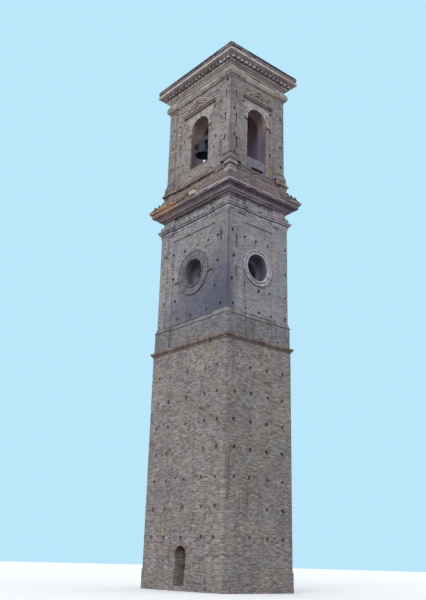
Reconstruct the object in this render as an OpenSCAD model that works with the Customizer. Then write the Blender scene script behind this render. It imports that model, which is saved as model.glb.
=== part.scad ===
// Brick bell tower with an oblong plan: a plain shaft, a stage with round windows,
// a heavy corbelled cornice, an open belfry with four arches and a low hipped roof.
// Origin at the centre of the foot, on the ground. Front is -Y, up is +Z, millimetres.

/* [Plan] */
// Width of the belfry's front, over its corner piers
belfry_w = 5500; // [5300:20:5700]
// Depth of the belfry's side, over its corner piers
belfry_d = 7500; // [7300:20:7700]
// How far the round-window stage stands out past the belfry, each side
stage_step = 140; // [100:5:180]
// How far the shaft stands out past the round-window stage, each side
shaft_step = 120; // [80:5:160]
// Wall of the shaft
shaft_wall = 1500; // [1440:10:1560]
// Wall of the round-window stage, behind its sunk panel
stage_wall = 1200; // [1150:10:1250]
// Front and back walls of the belfry, behind their sunk face
belfry_wall = 950; // [900:10:1000]
// Side walls of the belfry, behind their sunk face
belfry_side_wall = 1270; // [1240:10:1300]

/* [Piers and panels] */
// Width of a corner pier's outer face
pier_face = 850; // [780:10:920]
// Depth of the flat strip beside a pier's face
strip_recess = 60; // [45:5:75]
// Depth of the sunk panels between the strips
panel_recess = 120; // [100:5:140]
// Width of the blocks that break forward under and over a stage corner
stage_block_w = 1480; // [1440:10:1500]
// Width from a belfry corner to the sunk face on the two sides
belfry_margin = 1450; // [1400:10:1500]
// Height of the plain band over a stage panel
panel_head = 550; // [500:10:600]
// Height of the plain band under a stage panel
panel_foot = 450; // [400:10:500]

/* [Heights] */
// Height of the shaft from the ground to its string course
shaft_h = 15700; // [15400:50:16000]
// Height of the shaft's plinth
plinth_h = 1200; // [1100:20:1300]
// How far the plinth stands out
plinth_out = 90; // [70:5:110]
// Thickness of the paved ground floor
ground_floor_t = 300; // [260:10:340]
// Height of the string course over the shaft
string_h = 350; // [320:10:380]
// Height of the block and mouldings under the stage piers
stage_base_h = 1750; // [1700:10:1800]
// Height of the stage walls and piers
stage_h = 7300; // [7150:50:7450]
// Height of the architrave under the middle cornice
mid_architrave_h = 700; // [660:10:740]
// Height of the frieze under the middle cornice
mid_frieze_h = 700; // [660:10:740]
// Height of the middle cornice, up to its corona's top edge
mid_cornice_h = 650; // [620:10:680]
// Height of the crowning course on the middle cornice
mid_crown_h = 300; // [270:10:330]
// Height of the block that the belfry stands on
pedestal_h = 1300; // [1260:10:1340]
// Height of the moulded course on top of that block
belfry_base_h = 700; // [670:10:730]
// Height of the belfry walls and piers
belfry_h = 7120; // [7000:20:7240]
// Height of the stepped head over a sunk belfry face
belfry_head_h = 680; // [650:10:710]
// Height of the lower step of that head
head_step_h = 240; // [220:5:260]
// Height of the small bases of the belfry piers
pier_base_h = 600; // [560:10:640]
// Height of the architrave over the belfry
top_architrave_h = 790; // [760:10:820]
// Height of the frieze and bed courses over it
top_frieze_h = 540; // [520:10:560]
// Height of the dentils
dentil_h = 250; // [230:5:270]
// Height of the corona of the top cornice
corona_h = 450; // [420:10:480]
// Depth of the vaulted floors
floor_t = 700; // [660:10:740]
// Least thickness of a vaulted floor at its crown
vault_crown_t = 280; // [250:10:310]

/* [Cornice projections] */
// Projection of the middle architrave past the stage piers
mid_architrave_out = 245; // [225:5:265]
// Projection of the bead at the foot of the middle frieze past the stage piers
frieze_bead_out = 85; // [70:5:100]
// Depth of the middle frieze behind the stage piers
frieze_set_back = 80; // [60:5:100]
// Projection of the middle cornice past the stage piers
mid_cornice_out = 640; // [600:10:680]
// Projection of the belfry's block past the belfry piers
pedestal_out = 130; // [120:2:140]
// Extra projection of its crowning course
mid_crown_extra = 170; // [150:5:190]
// Width of bare corona in front of the brick bedding, where the crowning course is lost
crown_bed = 160; // [140:5:180]
// Height of the sloping bedding over the corona
weathering_h = 1080; // [1040:10:1110]
// Length of crowning course left at the right end of the front
crown_front_left = 900; // [850:10:950]
// Length of crowning course left at the back end of the left side
crown_side_left = 4050; // [3950:20:4150]
// Width, on the front, of the one block of belfry base moulding left at the near corner
base_block_front = 520; // [480:10:560]
// Width of that block on the left side
base_block_side = 380; // [350:10:410]
// Length of belfry base moulding lost beside that block, along the left side
base_side_lost = 1220; // [1150:10:1290]
// Projection of the top architrave past the belfry piers
top_architrave_out = 250; // [230:5:270]
// Projection of the flat band behind the dentils
dentil_band_out = 290; // [275:5:305]
// Projection of the dentils past the belfry piers
dentil_out = 450; // [430:5:470]
// Width of one dentil
dentil_w = 200; // [180:5:220]
// Distance between dentils, centre to centre
dentil_pitch = 420; // [400:5:440]
// Projection of the top cornice past the belfry piers
corona_out = 740; // [710:10:770]
// How far the flat band of the top cornice stands out past the moulding over it
corona_lip = 35; // [25:1:45]

/* [Round windows] */
// Height of a round window's centre over the foot of the stage walls
oculus_rise = 3600; // [3500:20:3700]
// Radius of the hole through the wall
oculus_r = 925; // [890:5:945]
// Radius where the splay meets the wall face
oculus_splay_r = 985; // [965:5:1005]
// Depth of the splay
oculus_splay_depth = 330; // [300:10:360]
// Outer radius of the brick ring on the front and back
oculus_ring_front_r = 1340; // [1320:2:1360]
// Outer radius of the brick ring on the two sides
oculus_ring_side_r = 1680; // [1650:5:1710]
// How far the brick rings stand out of the sunk panel
oculus_ring_out = 90; // [75:5:105]
// Width of the raised rim on the inner edge of a ring
ring_rim_w = 110; // [100:5:120]
// Width of the groove outside that rim
ring_groove_w = 130; // [120:5:140]
// Width of the raised bead on the outer edge of a ring
ring_bead_w = 70; // [60:2:80]
// Width of sunk panel left beside the ring on the front and back
ring_margin = 70; // [50:5:90]
// Length of the short ledges beside a side ring
ledge_len = 500; // [470:10:520]
// Distance of those ledges under the centre of a side window
ledge_drop = 350; // [320:10:380]
// Height of the ledges
ledge_h = 120; // [100:5:140]
// Width of sunk panel left beyond the end of a ledge
ledge_margin = 250; // [220:10:280]

/* [Arches] */
// Width of the front and back arches
arch_front_w = 1980; // [1920:10:2040]
// Width of the two side arches
arch_side_w = 2100; // [2040:10:2160]
// Height of the arches' crown over the belfry floor
arch_crown_h = 5300; // [5240:10:5360]
// Height of the parapets in the arches
parapet_h = 1050; // [1000:10:1100]
// Thickness of the parapets
parapet_t = 350; // [320:10:380]
// Depth of the front and back parapets behind the sunk face
parapet_set_back = 90; // [80:2:100]
// Height of the impost blocks
impost_h = 240; // [220:5:260]
// Length of the impost blocks beside the arch
impost_len = 300; // [280:5:320]
// Width of sunk face left beside an impost block on the front and back
impost_margin = 50; // [40:2:60]
// Projection of the impost blocks
impost_out = 60; // [50:2:70]
// Distance from a belfry corner to the foot of the hoods on the front and back
hood_front_margin = 1230; // [1200:10:1260]
// Distance from a belfry corner to the foot of the hoods on the sides
hood_side_margin = 1840; // [1800:10:1880]
// Height of a hood's foot over the arch's crown
hood_gap = 570; // [550:5:590]
// Height of a hood from foot to ridge
hood_h = 1150; // [1110:10:1190]
// Projection of a hood past the sunk face
hood_out = 260; // [240:5:280]
// Width of the drain slot through the foot of the front and back parapets
drain_w = 1250; // [1200:10:1300]
// Height of the drain slot
drain_h = 320; // [290:5:350]
// Distance of the drain slot to the right of the parapet's middle
drain_shift = 170; // [140:5:200]

/* [Doorway] */
// Width of the doorway at the foot
door_w = 1100; // [1040:10:1160]
// Height of the doorway to its crown, over the ground floor
door_h = 2400; // [2300:20:2500]

/* [Roof] */
// Overhang of the tiles past the corona
tile_out = 40; // [30:2:50]
// Thickness of the roof deck
deck_t = 160; // [140:5:180]
// Thickness of the tile layer
tile_t = 90; // [80:5:100]
// Rise of the roof for each unit of run
roof_slope = 0.27; // [0.24:0.01:0.29]

/* [Bell] */
// Radius of the bell at its mouth
bell_r = 640; // [620:5:660]
// Height of the bell from mouth to shoulder
bell_h = 920; // [900:5:940]
// Height of the canons, from the bell's shoulder to the headstock
canon_h = 200; // [180:5:220]
// Height of the swing axis over the belfry floor
bell_axis_h = 3300; // [3270:5:3330]
// Distance of the swing axis behind the left face of the piers
bell_inset = 560; // [540:5:580]
// Length of the wooden headstock
headstock_len = 1380; // [1340:10:1420]
// Height of the headstock
headstock_h = 420; // [400:5:440]
// Distance from the swing axis down to the headstock's underside
headstock_foot = 120; // [105:5:135]
// Thickness of the headstock
headstock_t = 300; // [280:5:320]
// Radius of the gudgeon pins
gudgeon_r = 35; // [32:1:38]
// Clearance round the gudgeons and the clapper pin
pin_clearance = 0.3; // [0.2:0.05:0.5]
// Width of a bearing block, along the axis
bearing_len = 150; // [140:5:160]
// Height and depth of a bearing block
bearing_size = 260; // [240:5:280]
// Radius of the clapper's ball
clapper_ball_r = 90; // [86:1:94]
// Length of the clapper from its pin to the ball's centre
clapper_len = 735; // [725:1:745]
// Distance from the bell's inner crown down to the clapper's pin
clapper_hang = 90; // [85:1:100]
// Radius of the clapper's pin
clapper_pin_r = 18; // [16:1:20]

/* [Hidden] */

// Plan sizes, outside and inside, of each storey
stage_w = belfry_w + 2 * stage_step;
stage_d = belfry_d + 2 * stage_step;
shaft_w = stage_w + 2 * shaft_step;
shaft_d = stage_d + 2 * shaft_step;
shaft_room_w = shaft_w - 2 * shaft_wall;
shaft_room_d = shaft_d - 2 * shaft_wall;
stage_pier = stage_wall + panel_recess;
stage_room_w = stage_w - 2 * stage_pier;
stage_room_d = stage_d - 2 * stage_pier;
belfry_pier = belfry_wall + panel_recess;
belfry_side = belfry_side_wall + panel_recess;
belfry_room_w = belfry_w - 2 * belfry_side;
belfry_room_d = belfry_d - 2 * belfry_pier;

// Levels, from the ground up
string_z = shaft_h;
stage_base_z = string_z + string_h;
stage_z = stage_base_z + stage_base_h;
mid_architrave_z = stage_z + stage_h;
mid_frieze_z = mid_architrave_z + mid_architrave_h;
mid_cornice_z = mid_frieze_z + mid_frieze_h;
mid_crown_z = mid_cornice_z + mid_cornice_h;
pedestal_z = mid_crown_z;
belfry_base_z = pedestal_z + pedestal_h;
belfry_z = belfry_base_z + belfry_base_h;
top_architrave_z = belfry_z + belfry_h;
top_frieze_z = top_architrave_z + top_architrave_h;
dentil_z = top_frieze_z + top_frieze_h;
corona_z = dentil_z + dentil_h;
eave_z = corona_z + corona_h;
oculus_z = stage_z + oculus_rise;
front_panel_w = 2 * (oculus_ring_front_r + ring_margin);
ledge_rise = ledge_drop - ledge_h;
ledge_x = sqrt(oculus_ring_side_r * oculus_ring_side_r - ledge_rise * ledge_rise);
side_panel_w = 2 * (ledge_x + ledge_len + ledge_margin);
arch_crown_z = belfry_z + arch_crown_h;
belfry_head_z = belfry_z + belfry_h - belfry_head_h;
front_face_w = arch_front_w + 2 * (impost_len + impost_margin);
side_face_w = belfry_d - 2 * belfry_margin;
hood_z = arch_crown_z + hood_gap;
bell_axis_z = belfry_z + bell_axis_h;
bell_x = -belfry_w / 2 + bell_inset;
bell_mouth_z = bell_axis_z - headstock_foot - canon_h - bell_h;
bell_inner_h = bell_h - 0.1 * bell_r;
bell_pin_z = bell_inner_h - clapper_hang;
deck_w = belfry_w + 2 * corona_out;
deck_d = belfry_d + 2 * corona_out;

// Straight segments in one quarter round of a moulding
round_steps = 5;
// How far a cutting solid runs past what it cuts
past = 50;
// Sides of the true circles
smooth = 72;

brick = "#9b8a7b";
brick_red = "#8d5f4e";
brick_dark = "#7c6c66";
plaster = "#9a99a3";
stone = "#a9a49a";
tile = "#7a5b4c";
timber = "#5a4a40";
iron = "#3c4046";
bronze = "#5d6a58";

// Outline points [projection, height] of a quarter round that swells outwards from its foot
function ovolo(p0, z0, p1, z1) = [for (i = [0:round_steps])
    let (a = 90 * i / round_steps) [p0 + (p1 - p0) * sin(a), z0 + (z1 - z0) * (1 - cos(a))]];
// Outline points of a quarter round that is hollowed out and ends level
function cavetto(p0, z0, p1, z1) = [for (i = [0:round_steps])
    let (a = 90 * i / round_steps) [p0 + (p1 - p0) * (1 - cos(a)), z0 + (z1 - z0) * sin(a)]];
// Outline points of a half round bead on a vertical face
function bead(p, z0, z1, out) = [for (i = [0:2 * round_steps])
    let (a = 90 * i / round_steps) [p + out * sin(a), (z0 + z1) / 2 - (z1 - z0) / 2 * cos(a)]];

// Half outline mirrored about the tower's middle plane
module both_halves(half, outline) {
    polygon(concat(
        [for (q = outline) [half + q[0], q[1]]],
        [for (i = [len(outline) - 1:-1:0]) [-half - outline[i][0], outline[i][1]]]));
}

// Moulded block: the outline runs round all four sides of a w by d rectangle, mitred at the corners
module moulded_block(w, d, outline) {
    reach = 4 * max(w, d);
    intersection() {
        rotate([90, 0, 0])
            linear_extrude(height = reach, center = true)
                both_halves(w / 2, outline);
        rotate([90, 0, 90])
            linear_extrude(height = reach, center = true)
                both_halves(d / 2, outline);
    }
}

// Upright box centred on the tower's axis
module core_box(w, d, z0, z1) {
    translate([-w / 2, -d / 2, z0])
        cube([w, d, z1 - z0]);
}

// Copies of what stands at the corner of a w by d plan, one at each corner
module at_corners(w, d) {
    for (sx = [-1, 1])
        for (sy = [-1, 1])
            translate([sx * w / 2, sy * d / 2, 0])
                mirror([sx > 0 ? 1 : 0, 0, 0])
                    mirror([0, sy > 0 ? 1 : 0, 0])
                        children();
}

// One course of masonry round the tower: set back between the piers, forward over them, hollow inside
module course(w, d, room_w, room_d, outline, pier, recess) {
    z0 = outline[0][1];
    z1 = outline[len(outline) - 1][1];
    difference() {
        union() {
            moulded_block(w - 2 * recess, d - 2 * recess, outline);
            for (sx = [-1, 1])
                for (sy = [-1, 1])
                    translate([sx * (w - pier) / 2, sy * (d - pier) / 2, 0])
                        moulded_block(pier, pier, outline);
        }
        core_box(room_w, room_d, z0 - past, z1 + past);
    }
}

// Corner pier: a full face, then a flat strip set back, square on its inner side
module corner_pier(side, z0, h) {
    translate([0, 0, z0])
        linear_extrude(height = h)
            polygon([[0, 0], [pier_face, 0], [pier_face, strip_recess], [side, strip_recess],
                [side, side], [strip_recess, side], [strip_recess, pier_face], [0, pier_face]]);
}

// Puts a wall drawn along X, with its outer face at y = 0 and its inner side at +y, on one of four sides
module on_side(side, w, d) {
    if (side == "front") translate([0, -d / 2, 0]) children();
    if (side == "back") rotate([0, 0, 180]) translate([0, -d / 2, 0]) children();
    if (side == "left") rotate([0, 0, -90]) translate([0, -w / 2, 0]) children();
    if (side == "right") rotate([0, 0, 90]) translate([0, -w / 2, 0]) children();
}

// Plain slab of wall drawn along X between two depths
module slab(len, y0, y1, z0, z1) {
    translate([-len / 2, y0, z0])
        cube([len, y1 - y0, z1 - z0]);
}

// Round-headed opening through a wall drawn along X
module arch_cut(w, y0, y1, z0, crown_z) {
    slab(w, y0, y1, z0, crown_z - w / 2);
    translate([0, y0, crown_z - w / 2])
        rotate([-90, 0, 0])
            cylinder(h = y1 - y0, r = w / 2, $fn = smooth);
}

module ground_floor() {
    color(stone)
        core_box(shaft_room_w, shaft_room_d, 0, ground_floor_t);
}

// Shaft wall with its plinth, drawn along X, without the doorway
module shaft_slab(len) {
    slab(len, 0, shaft_wall, 0, shaft_h);
    rotate([90, 0, 90])
        linear_extrude(height = len, center = true)
            polygon([[-plinth_out, 0], [past, 0], [past, plinth_h + plinth_out], [0, plinth_h + plinth_out],
                [-plinth_out, plinth_h]]);
}

module shaft_wall_front() {
    color(brick)
        on_side("front", shaft_w, shaft_d)
            shaft_slab(shaft_w);
}

module shaft_wall_back() {
    color(brick)
        on_side("back", shaft_w, shaft_d)
            shaft_slab(shaft_w);
}

module shaft_wall_left() {
    color(brick)
        on_side("left", shaft_w, shaft_d)
            difference() {
                shaft_slab(shaft_room_d);
                arch_cut(door_w, -plinth_out - past, shaft_wall + past, ground_floor_t,
                    ground_floor_t + door_h);
            }
}

module shaft_wall_right() {
    color(brick)
        on_side("right", shaft_w, shaft_d)
            shaft_slab(shaft_room_d);
}

module string_course() {
    z = string_z;
    h = string_h;
    color(brick_red)
        difference() {
            moulded_block(shaft_w, shaft_d, concat(
                [[0, z], [50, z], [50, z + 0.25 * h]],
                ovolo(50, z + 0.25 * h, 150, z + 0.6 * h),
                [[170, z + 0.6 * h], [170, z + 0.85 * h], [0, z + h]]));
            core_box(shaft_room_w, shaft_room_d, z - past, z + h + past);
        }
}

module stage_base_course() {
    z = stage_base_z;
    h = stage_base_h;
    block_top = z + h - 350;
    bead_top = block_top + 120;
    hollow_top = bead_top + 140;
    color(brick)
        course(stage_w, stage_d, stage_room_w, stage_room_d, concat(
            [[90, z], [90, block_top]],
            bead(60, block_top, bead_top, 60),
            cavetto(60, bead_top, 20, hollow_top),
            [[20, z + h]]), stage_block_w, panel_recess);
}

// Floor slab with a segmental vault under it, running across the tower
module vaulted_floor(w, d, z0) {
    rise = floor_t - vault_crown_t;
    r = (w * w / 4 + rise * rise) / (2 * rise);
    difference() {
        core_box(w, d, z0, z0 + floor_t);
        translate([0, 0, z0 + rise - r])
            rotate([90, 0, 0])
                cylinder(h = d + 2 * past, r = r, center = true, $fn = smooth);
    }
}

module stage_floor() {
    color(brick_dark)
        vaulted_floor(stage_room_w, stage_room_d, stage_base_z);
}

module stage_piers() {
    color(brick)
        at_corners(stage_w, stage_d)
            corner_pier(stage_pier, stage_z, stage_h);
}

// Wall of the round-window stage between two piers, with its sunk panel and splayed round window
module stage_wall_slab(full, panel_w) {
    len = full - 2 * stage_pier;
    difference() {
        slab(len, strip_recess, stage_pier, stage_z, stage_z + stage_h);
        slab(panel_w, strip_recess - past, panel_recess, stage_z + panel_foot, stage_z + stage_h - panel_head);
        translate([0, strip_recess - past, oculus_z])
            rotate([-90, 0, 0])
                cylinder(h = stage_pier + 2 * past, r = oculus_r, $fn = smooth);
        translate([0, panel_recess, oculus_z])
            rotate([-90, 0, 0])
                cylinder(h = oculus_splay_depth, r1 = oculus_splay_r, r2 = oculus_r, $fn = smooth);
    }
}

module stage_wall_front() {
    color(brick)
        on_side("front", stage_w, stage_d)
            stage_wall_slab(stage_w, front_panel_w);
}

module stage_wall_back() {
    color(brick)
        on_side("back", stage_w, stage_d)
            stage_wall_slab(stage_w, front_panel_w);
}

module stage_wall_left() {
    color(brick)
        on_side("left", stage_w, stage_d)
            stage_wall_slab(stage_d, side_panel_w);
}

module stage_wall_right() {
    color(brick)
        on_side("right", stage_w, stage_d)
            stage_wall_slab(stage_d, side_panel_w);
}

// Brick ring round a window: a raised rim with a splayed inner edge, a groove, a flat band and an
// outer bead
module oculus_ring(outer_r) {
    out = oculus_ring_out;
    rim_r = oculus_splay_r + ring_rim_w;
    band_r = rim_r + ring_groove_w;
    bead_r = outer_r - ring_bead_w;
    translate([0, panel_recess, oculus_z])
        rotate([90, 0, 0])
            rotate_extrude($fn = smooth)
                polygon([[oculus_splay_r, 0], [oculus_splay_r, 0.6 * out],
                    [oculus_splay_r + 0.3 * ring_rim_w, out], [rim_r, out], [rim_r, 0.25 * out],
                    [band_r, 0.25 * out], [band_r, 0.65 * out], [bead_r, 0.65 * out], [bead_r, out],
                    [outer_r, out], [outer_r, 0]]);
}

module oculus_rings() {
    color(brick_red) {
        on_side("front", stage_w, stage_d) oculus_ring(oculus_ring_front_r);
        on_side("back", stage_w, stage_d) oculus_ring(oculus_ring_front_r);
        on_side("left", stage_w, stage_d) oculus_ring(oculus_ring_side_r);
        on_side("right", stage_w, stage_d) oculus_ring(oculus_ring_side_r);
    }
}

// Short brick ledges that run out level from the side rings
module oculus_ledges() {
    color(brick_red)
        for (side = ["left", "right"])
            on_side(side, stage_w, stage_d)
                for (s = [-1, 1])
                    translate([s * (ledge_x + ledge_len / 2) - ledge_len / 2, panel_recess - oculus_ring_out,
                            oculus_z - ledge_drop])
                        cube([ledge_len, oculus_ring_out, ledge_h]);
}

module mid_architrave() {
    z = mid_architrave_z;
    h = mid_architrave_h;
    p = mid_architrave_out;
    color(brick)
        course(stage_w, stage_d, stage_room_w, stage_room_d, concat(
            [[20, z], [20, z + 0.18 * h], [60, z + 0.18 * h], [60, z + 0.45 * h]],
            ovolo(80, z + 0.45 * h, 0.75 * p, z + 0.68 * h),
            [[p, z + 0.7 * h], [p, z + 0.86 * h], [40, z + h]]), stage_block_w, panel_recess);
}

// Frieze with a bead along its foot, set back over it
module mid_frieze() {
    z = mid_frieze_z;
    h = mid_frieze_h;
    foot = frieze_bead_out - 35;
    color(brick)
        course(stage_w, stage_d, stage_room_w, stage_room_d, concat(
            [[foot, z]],
            bead(foot, z + 0.05 * h, z + 0.36 * h, 35),
            cavetto(foot - 20, z + 0.36 * h, -frieze_set_back, z + 0.52 * h),
            [[-frieze_set_back, z + h]]), stage_block_w, panel_recess);
}

// Corbelled cornice: stepped courses, a hollow, and the overhanging corona with its drip
module mid_cornice() {
    z = mid_cornice_z;
    h = mid_cornice_h;
    p = mid_cornice_out;
    color(brick_red)
        difference() {
            moulded_block(stage_w, stage_d, concat(
                [[0, z], [0.1 * p, z], [0.1 * p, z + 0.12 * h], [0.22 * p, z + 0.12 * h]],
                ovolo(0.22 * p, z + 0.12 * h, 0.4 * p, z + 0.3 * h),
                [[0.46 * p, z + 0.3 * h], [0.46 * p, z + 0.42 * h]],
                cavetto(0.5 * p, z + 0.42 * h, 0.84 * p, z + 0.62 * h),
                [[0.95 * p, z + 0.62 * h], [0.95 * p, z + 0.8 * h], [p, z + 0.8 * h], [p, z + h]]));
            core_box(stage_room_w, stage_room_d, z - past, z + h + past);
        }
}

// Steep brick bedding behind the crowning course, up to the belfry's block
module weathering_form() {
    z = mid_crown_z;
    inner = mid_cornice_out - crown_bed;
    moulded_block(stage_w, stage_d,
        [[-past, z], [inner, z], [inner, z + 120],
            [pedestal_out - stage_step, z + weathering_h], [-past, z + weathering_h]]);
}

module mid_weathering() {
    color(brick_red)
        difference() {
            weathering_form();
            core_box(belfry_w + 2 * pedestal_out, belfry_d + 2 * pedestal_out, mid_crown_z - past,
                mid_crown_z + pedestal_h);
        }
}

// Crowning course of the middle cornice with the sloping tiles on it, lost over most of the front
// and part of the left side
module mid_cornice_crown() {
    z = mid_crown_z;
    h = mid_crown_h;
    outer = mid_cornice_out + mid_crown_extra;
    far = 20000;
    color(tile)
        difference() {
            moulded_block(stage_w, stage_d, concat(
                [[-past, z]],
                ovolo(mid_cornice_out - 60, z, outer - 40, z + 0.55 * h),
                [[outer, z + 0.6 * h], [outer, z + h], [pedestal_out - stage_step, z + weathering_h + 70],
                    [-past, z + weathering_h + 70]]));
            weathering_form();
            core_box(belfry_w + 2 * pedestal_out, belfry_d + 2 * pedestal_out, z - past, z + pedestal_h + past);
            translate([-far + stage_w / 2 - crown_front_left, -far - belfry_d / 4, z - past])
                cube([far, far, pedestal_h + 2 * past]);
            translate([-far, -far + stage_d / 2 - crown_side_left, z - past])
                cube([far, far, pedestal_h + 2 * past]);
        }
}

module belfry_pedestal() {
    z = pedestal_z;
    color(brick_red)
        difference() {
            core_box(belfry_w + 2 * pedestal_out, belfry_d + 2 * pedestal_out, z, z + pedestal_h);
            core_box(stage_room_w, stage_room_d, z - past, z + pedestal_h + past);
        }
}

// Moulded course under the belfry: only a block is left at the near corner, and the mouldings beside
// it are lost down to the sloping brick core
module belfry_base_course() {
    z = belfry_base_z;
    h = belfry_base_h;
    reach = 400;
    front_lost = belfry_w - pier_face - base_block_front;
    core = [[-pedestal_out, z], [-pedestal_out, z + 0.15 * h], [0.3 * panel_recess, z + 0.85 * h],
        [0.3 * panel_recess, z + h], [panel_recess, z + h], [panel_recess, z]];
    color(brick) {
        difference() {
            course(belfry_w, belfry_d, belfry_room_w, belfry_room_d, concat(
                [[150, z], [150, z + 0.3 * h]],
                bead(200, z + 0.34 * h, z + 0.58 * h, 75),
                cavetto(200, z + 0.58 * h, 130, z + 0.85 * h),
                [[130, z + h]]), pier_face, panel_recess / 2);
            translate([-belfry_w / 2 + base_block_front, -belfry_d / 2 - reach, z - past])
                cube([front_lost, reach + panel_recess, h + 2 * past]);
            translate([-belfry_w / 2 - reach, -belfry_d / 2 + base_block_side, z - past])
                cube([reach + panel_recess, base_side_lost, h + 2 * past]);
        }
        translate([-belfry_w / 2 + base_block_front + front_lost / 2, -belfry_d / 2, 0])
            rotate([90, 0, 90])
                linear_extrude(height = front_lost, center = true)
                    polygon(core);
        translate([-belfry_w / 2, -belfry_d / 2 + base_block_side + base_side_lost / 2, 0])
            rotate([90, 0, 0])
                linear_extrude(height = base_side_lost, center = true)
                    polygon(core);
    }
}

module belfry_floor() {
    color(brick_dark)
        vaulted_floor(belfry_room_w, belfry_room_d, belfry_base_z);
}

// Small moulded bases wrapped round the outer corner of each belfry pier
module belfry_pier_bases() {
    z = belfry_z;
    h = pier_base_h;
    side = pier_face;
    color(brick)
        at_corners(belfry_w, belfry_d)
            difference() {
                translate([side / 2, side / 2, 0])
                    moulded_block(side, side, concat(
                        [[0, z], [120, z], [120, z + 0.3 * h]],
                        bead(70, z + 0.3 * h, z + 0.62 * h, 50),
                        cavetto(70, z + 0.62 * h, 20, z + 0.9 * h),
                        [[20, z + h], [0, z + h]]));
                translate([0, 0, z - past])
                    linear_extrude(height = h + 2 * past)
                        polygon([[0, 0], [pier_face, 0], [pier_face, strip_recess], [2 * side, strip_recess],
                            [2 * side, 2 * side], [strip_recess, 2 * side], [strip_recess, pier_face],
                            [0, pier_face]]);
            }
}

module belfry_piers() {
    color(brick)
        at_corners(belfry_w, belfry_d)
            corner_pier(belfry_pier, belfry_z, belfry_h);
}

// Belfry wall between two piers, with its sunk face under a stepped head, and round-headed opening
module belfry_wall_slab(full, face_w, arch_w, wall) {
    len = full - 2 * belfry_pier;
    difference() {
        slab(len, strip_recess, wall, belfry_z, belfry_z + belfry_h);
        slab(face_w, strip_recess - past, panel_recess, belfry_z - past, belfry_head_z);
        slab(face_w, strip_recess - past, (strip_recess + panel_recess) / 2, belfry_head_z - past,
            belfry_head_z + head_step_h);
        arch_cut(arch_w, strip_recess - past, wall + past, belfry_z - past, arch_crown_z);
    }
}

module belfry_wall_front() {
    color(brick)
        on_side("front", belfry_w, belfry_d)
            belfry_wall_slab(belfry_w, front_face_w, arch_front_w, belfry_pier);
}

module belfry_wall_back() {
    color(brick)
        on_side("back", belfry_w, belfry_d)
            belfry_wall_slab(belfry_w, front_face_w, arch_front_w, belfry_pier);
}

module belfry_wall_left() {
    color(brick)
        on_side("left", belfry_w, belfry_d)
            belfry_wall_slab(belfry_d, side_face_w, arch_side_w, belfry_side);
}

module belfry_wall_right() {
    color(brick)
        on_side("right", belfry_w, belfry_d)
            belfry_wall_slab(belfry_d, side_face_w, arch_side_w, belfry_side);
}

// Parapet between an arch's jambs
module parapet(arch_w, set_back) {
    y = panel_recess + set_back;
    slab(arch_w, y, y + parapet_t, belfry_z, belfry_z + parapet_h);
}

// Plastered parapet with a drain slot through its foot
module drained_parapet() {
    y = panel_recess + parapet_set_back;
    difference() {
        parapet(arch_front_w, parapet_set_back);
        translate([drain_shift, 0, 0])
            slab(drain_w, y - past, y + parapet_t + past, belfry_z - past, belfry_z + drain_h);
    }
}

module parapet_front() {
    color(plaster)
        on_side("front", belfry_w, belfry_d)
            drained_parapet();
}

module parapet_back() {
    color(plaster)
        on_side("back", belfry_w, belfry_d)
            drained_parapet();
}

module parapet_left() {
    color(brick)
        on_side("left", belfry_w, belfry_d)
            parapet(arch_side_w, 0);
}

module parapet_right() {
    color(brick)
        on_side("right", belfry_w, belfry_d)
            parapet(arch_side_w, 0);
}

// Impost blocks on the sunk face, one each side of an arch at its springing
module impost_pair(arch_w) {
    spring_z = arch_crown_z - arch_w / 2;
    for (s = [-1, 1])
        translate([s * (arch_w + impost_len) / 2, 0, 0])
            slab(impost_len, panel_recess - impost_out, panel_recess, spring_z - impost_h, spring_z);
}

module impost_blocks() {
    color(brick_red) {
        on_side("front", belfry_w, belfry_d) impost_pair(arch_front_w);
        on_side("back", belfry_w, belfry_d) impost_pair(arch_front_w);
        on_side("left", belfry_w, belfry_d) impost_pair(arch_side_w);
        on_side("right", belfry_w, belfry_d) impost_pair(arch_side_w);
    }
}

// Gable hood over an arch: a level foot course and two raking courses, stepped out twice,
// cut back where it meets the flat strips and the stepped head round the sunk face
module gable_hood(half, face_half) {
    foot_h = 260;
    edge_h = 150;
    outer_band = 300;
    inner_band = 600;
    slope = (hood_h - edge_h) / half;
    difference() {
        translate([0, panel_recess, hood_z])
            rotate([90, 0, 0]) {
                linear_extrude(height = 0.3 * hood_out)
                    polygon([[-half, 0], [half, 0], [half, edge_h], [0, hood_h], [-half, edge_h]]);
                linear_extrude(height = 0.65 * hood_out)
                    difference() {
                        polygon([[-half, 0], [half, 0], [half, edge_h], [0, hood_h], [-half, edge_h]]);
                        polygon([[-half + inner_band, foot_h], [half - inner_band, foot_h],
                            [0, foot_h + slope * (half - inner_band)]]);
                    }
                linear_extrude(height = hood_out)
                    difference() {
                        polygon([[-half, 0.45 * foot_h], [half, 0.45 * foot_h], [half, edge_h], [0, hood_h],
                            [-half, edge_h]]);
                        polygon([[-half + outer_band, 0.8 * foot_h], [half - outer_band, 0.8 * foot_h],
                            [0, 0.8 * foot_h + slope * (half - outer_band)]]);
                    }
            }
        for (s = [-1, 1])
            translate([s * (face_half + half) - half, strip_recess, hood_z - past])
                cube([2 * half, panel_recess, hood_h + 2 * past]);
        slab(2 * half, (strip_recess + panel_recess) / 2, panel_recess + past, belfry_head_z, hood_z + hood_h);
        slab(2 * half, strip_recess, panel_recess + past, belfry_head_z + head_step_h, hood_z + hood_h);
    }
}

module gable_hoods() {
    color(brick_red) {
        for (side = ["front", "back"])
            on_side(side, belfry_w, belfry_d)
                gable_hood(belfry_w / 2 - hood_front_margin, front_face_w / 2);
        for (side = ["left", "right"])
            on_side(side, belfry_w, belfry_d)
                gable_hood(belfry_d / 2 - hood_side_margin, side_face_w / 2);
    }
}

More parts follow.
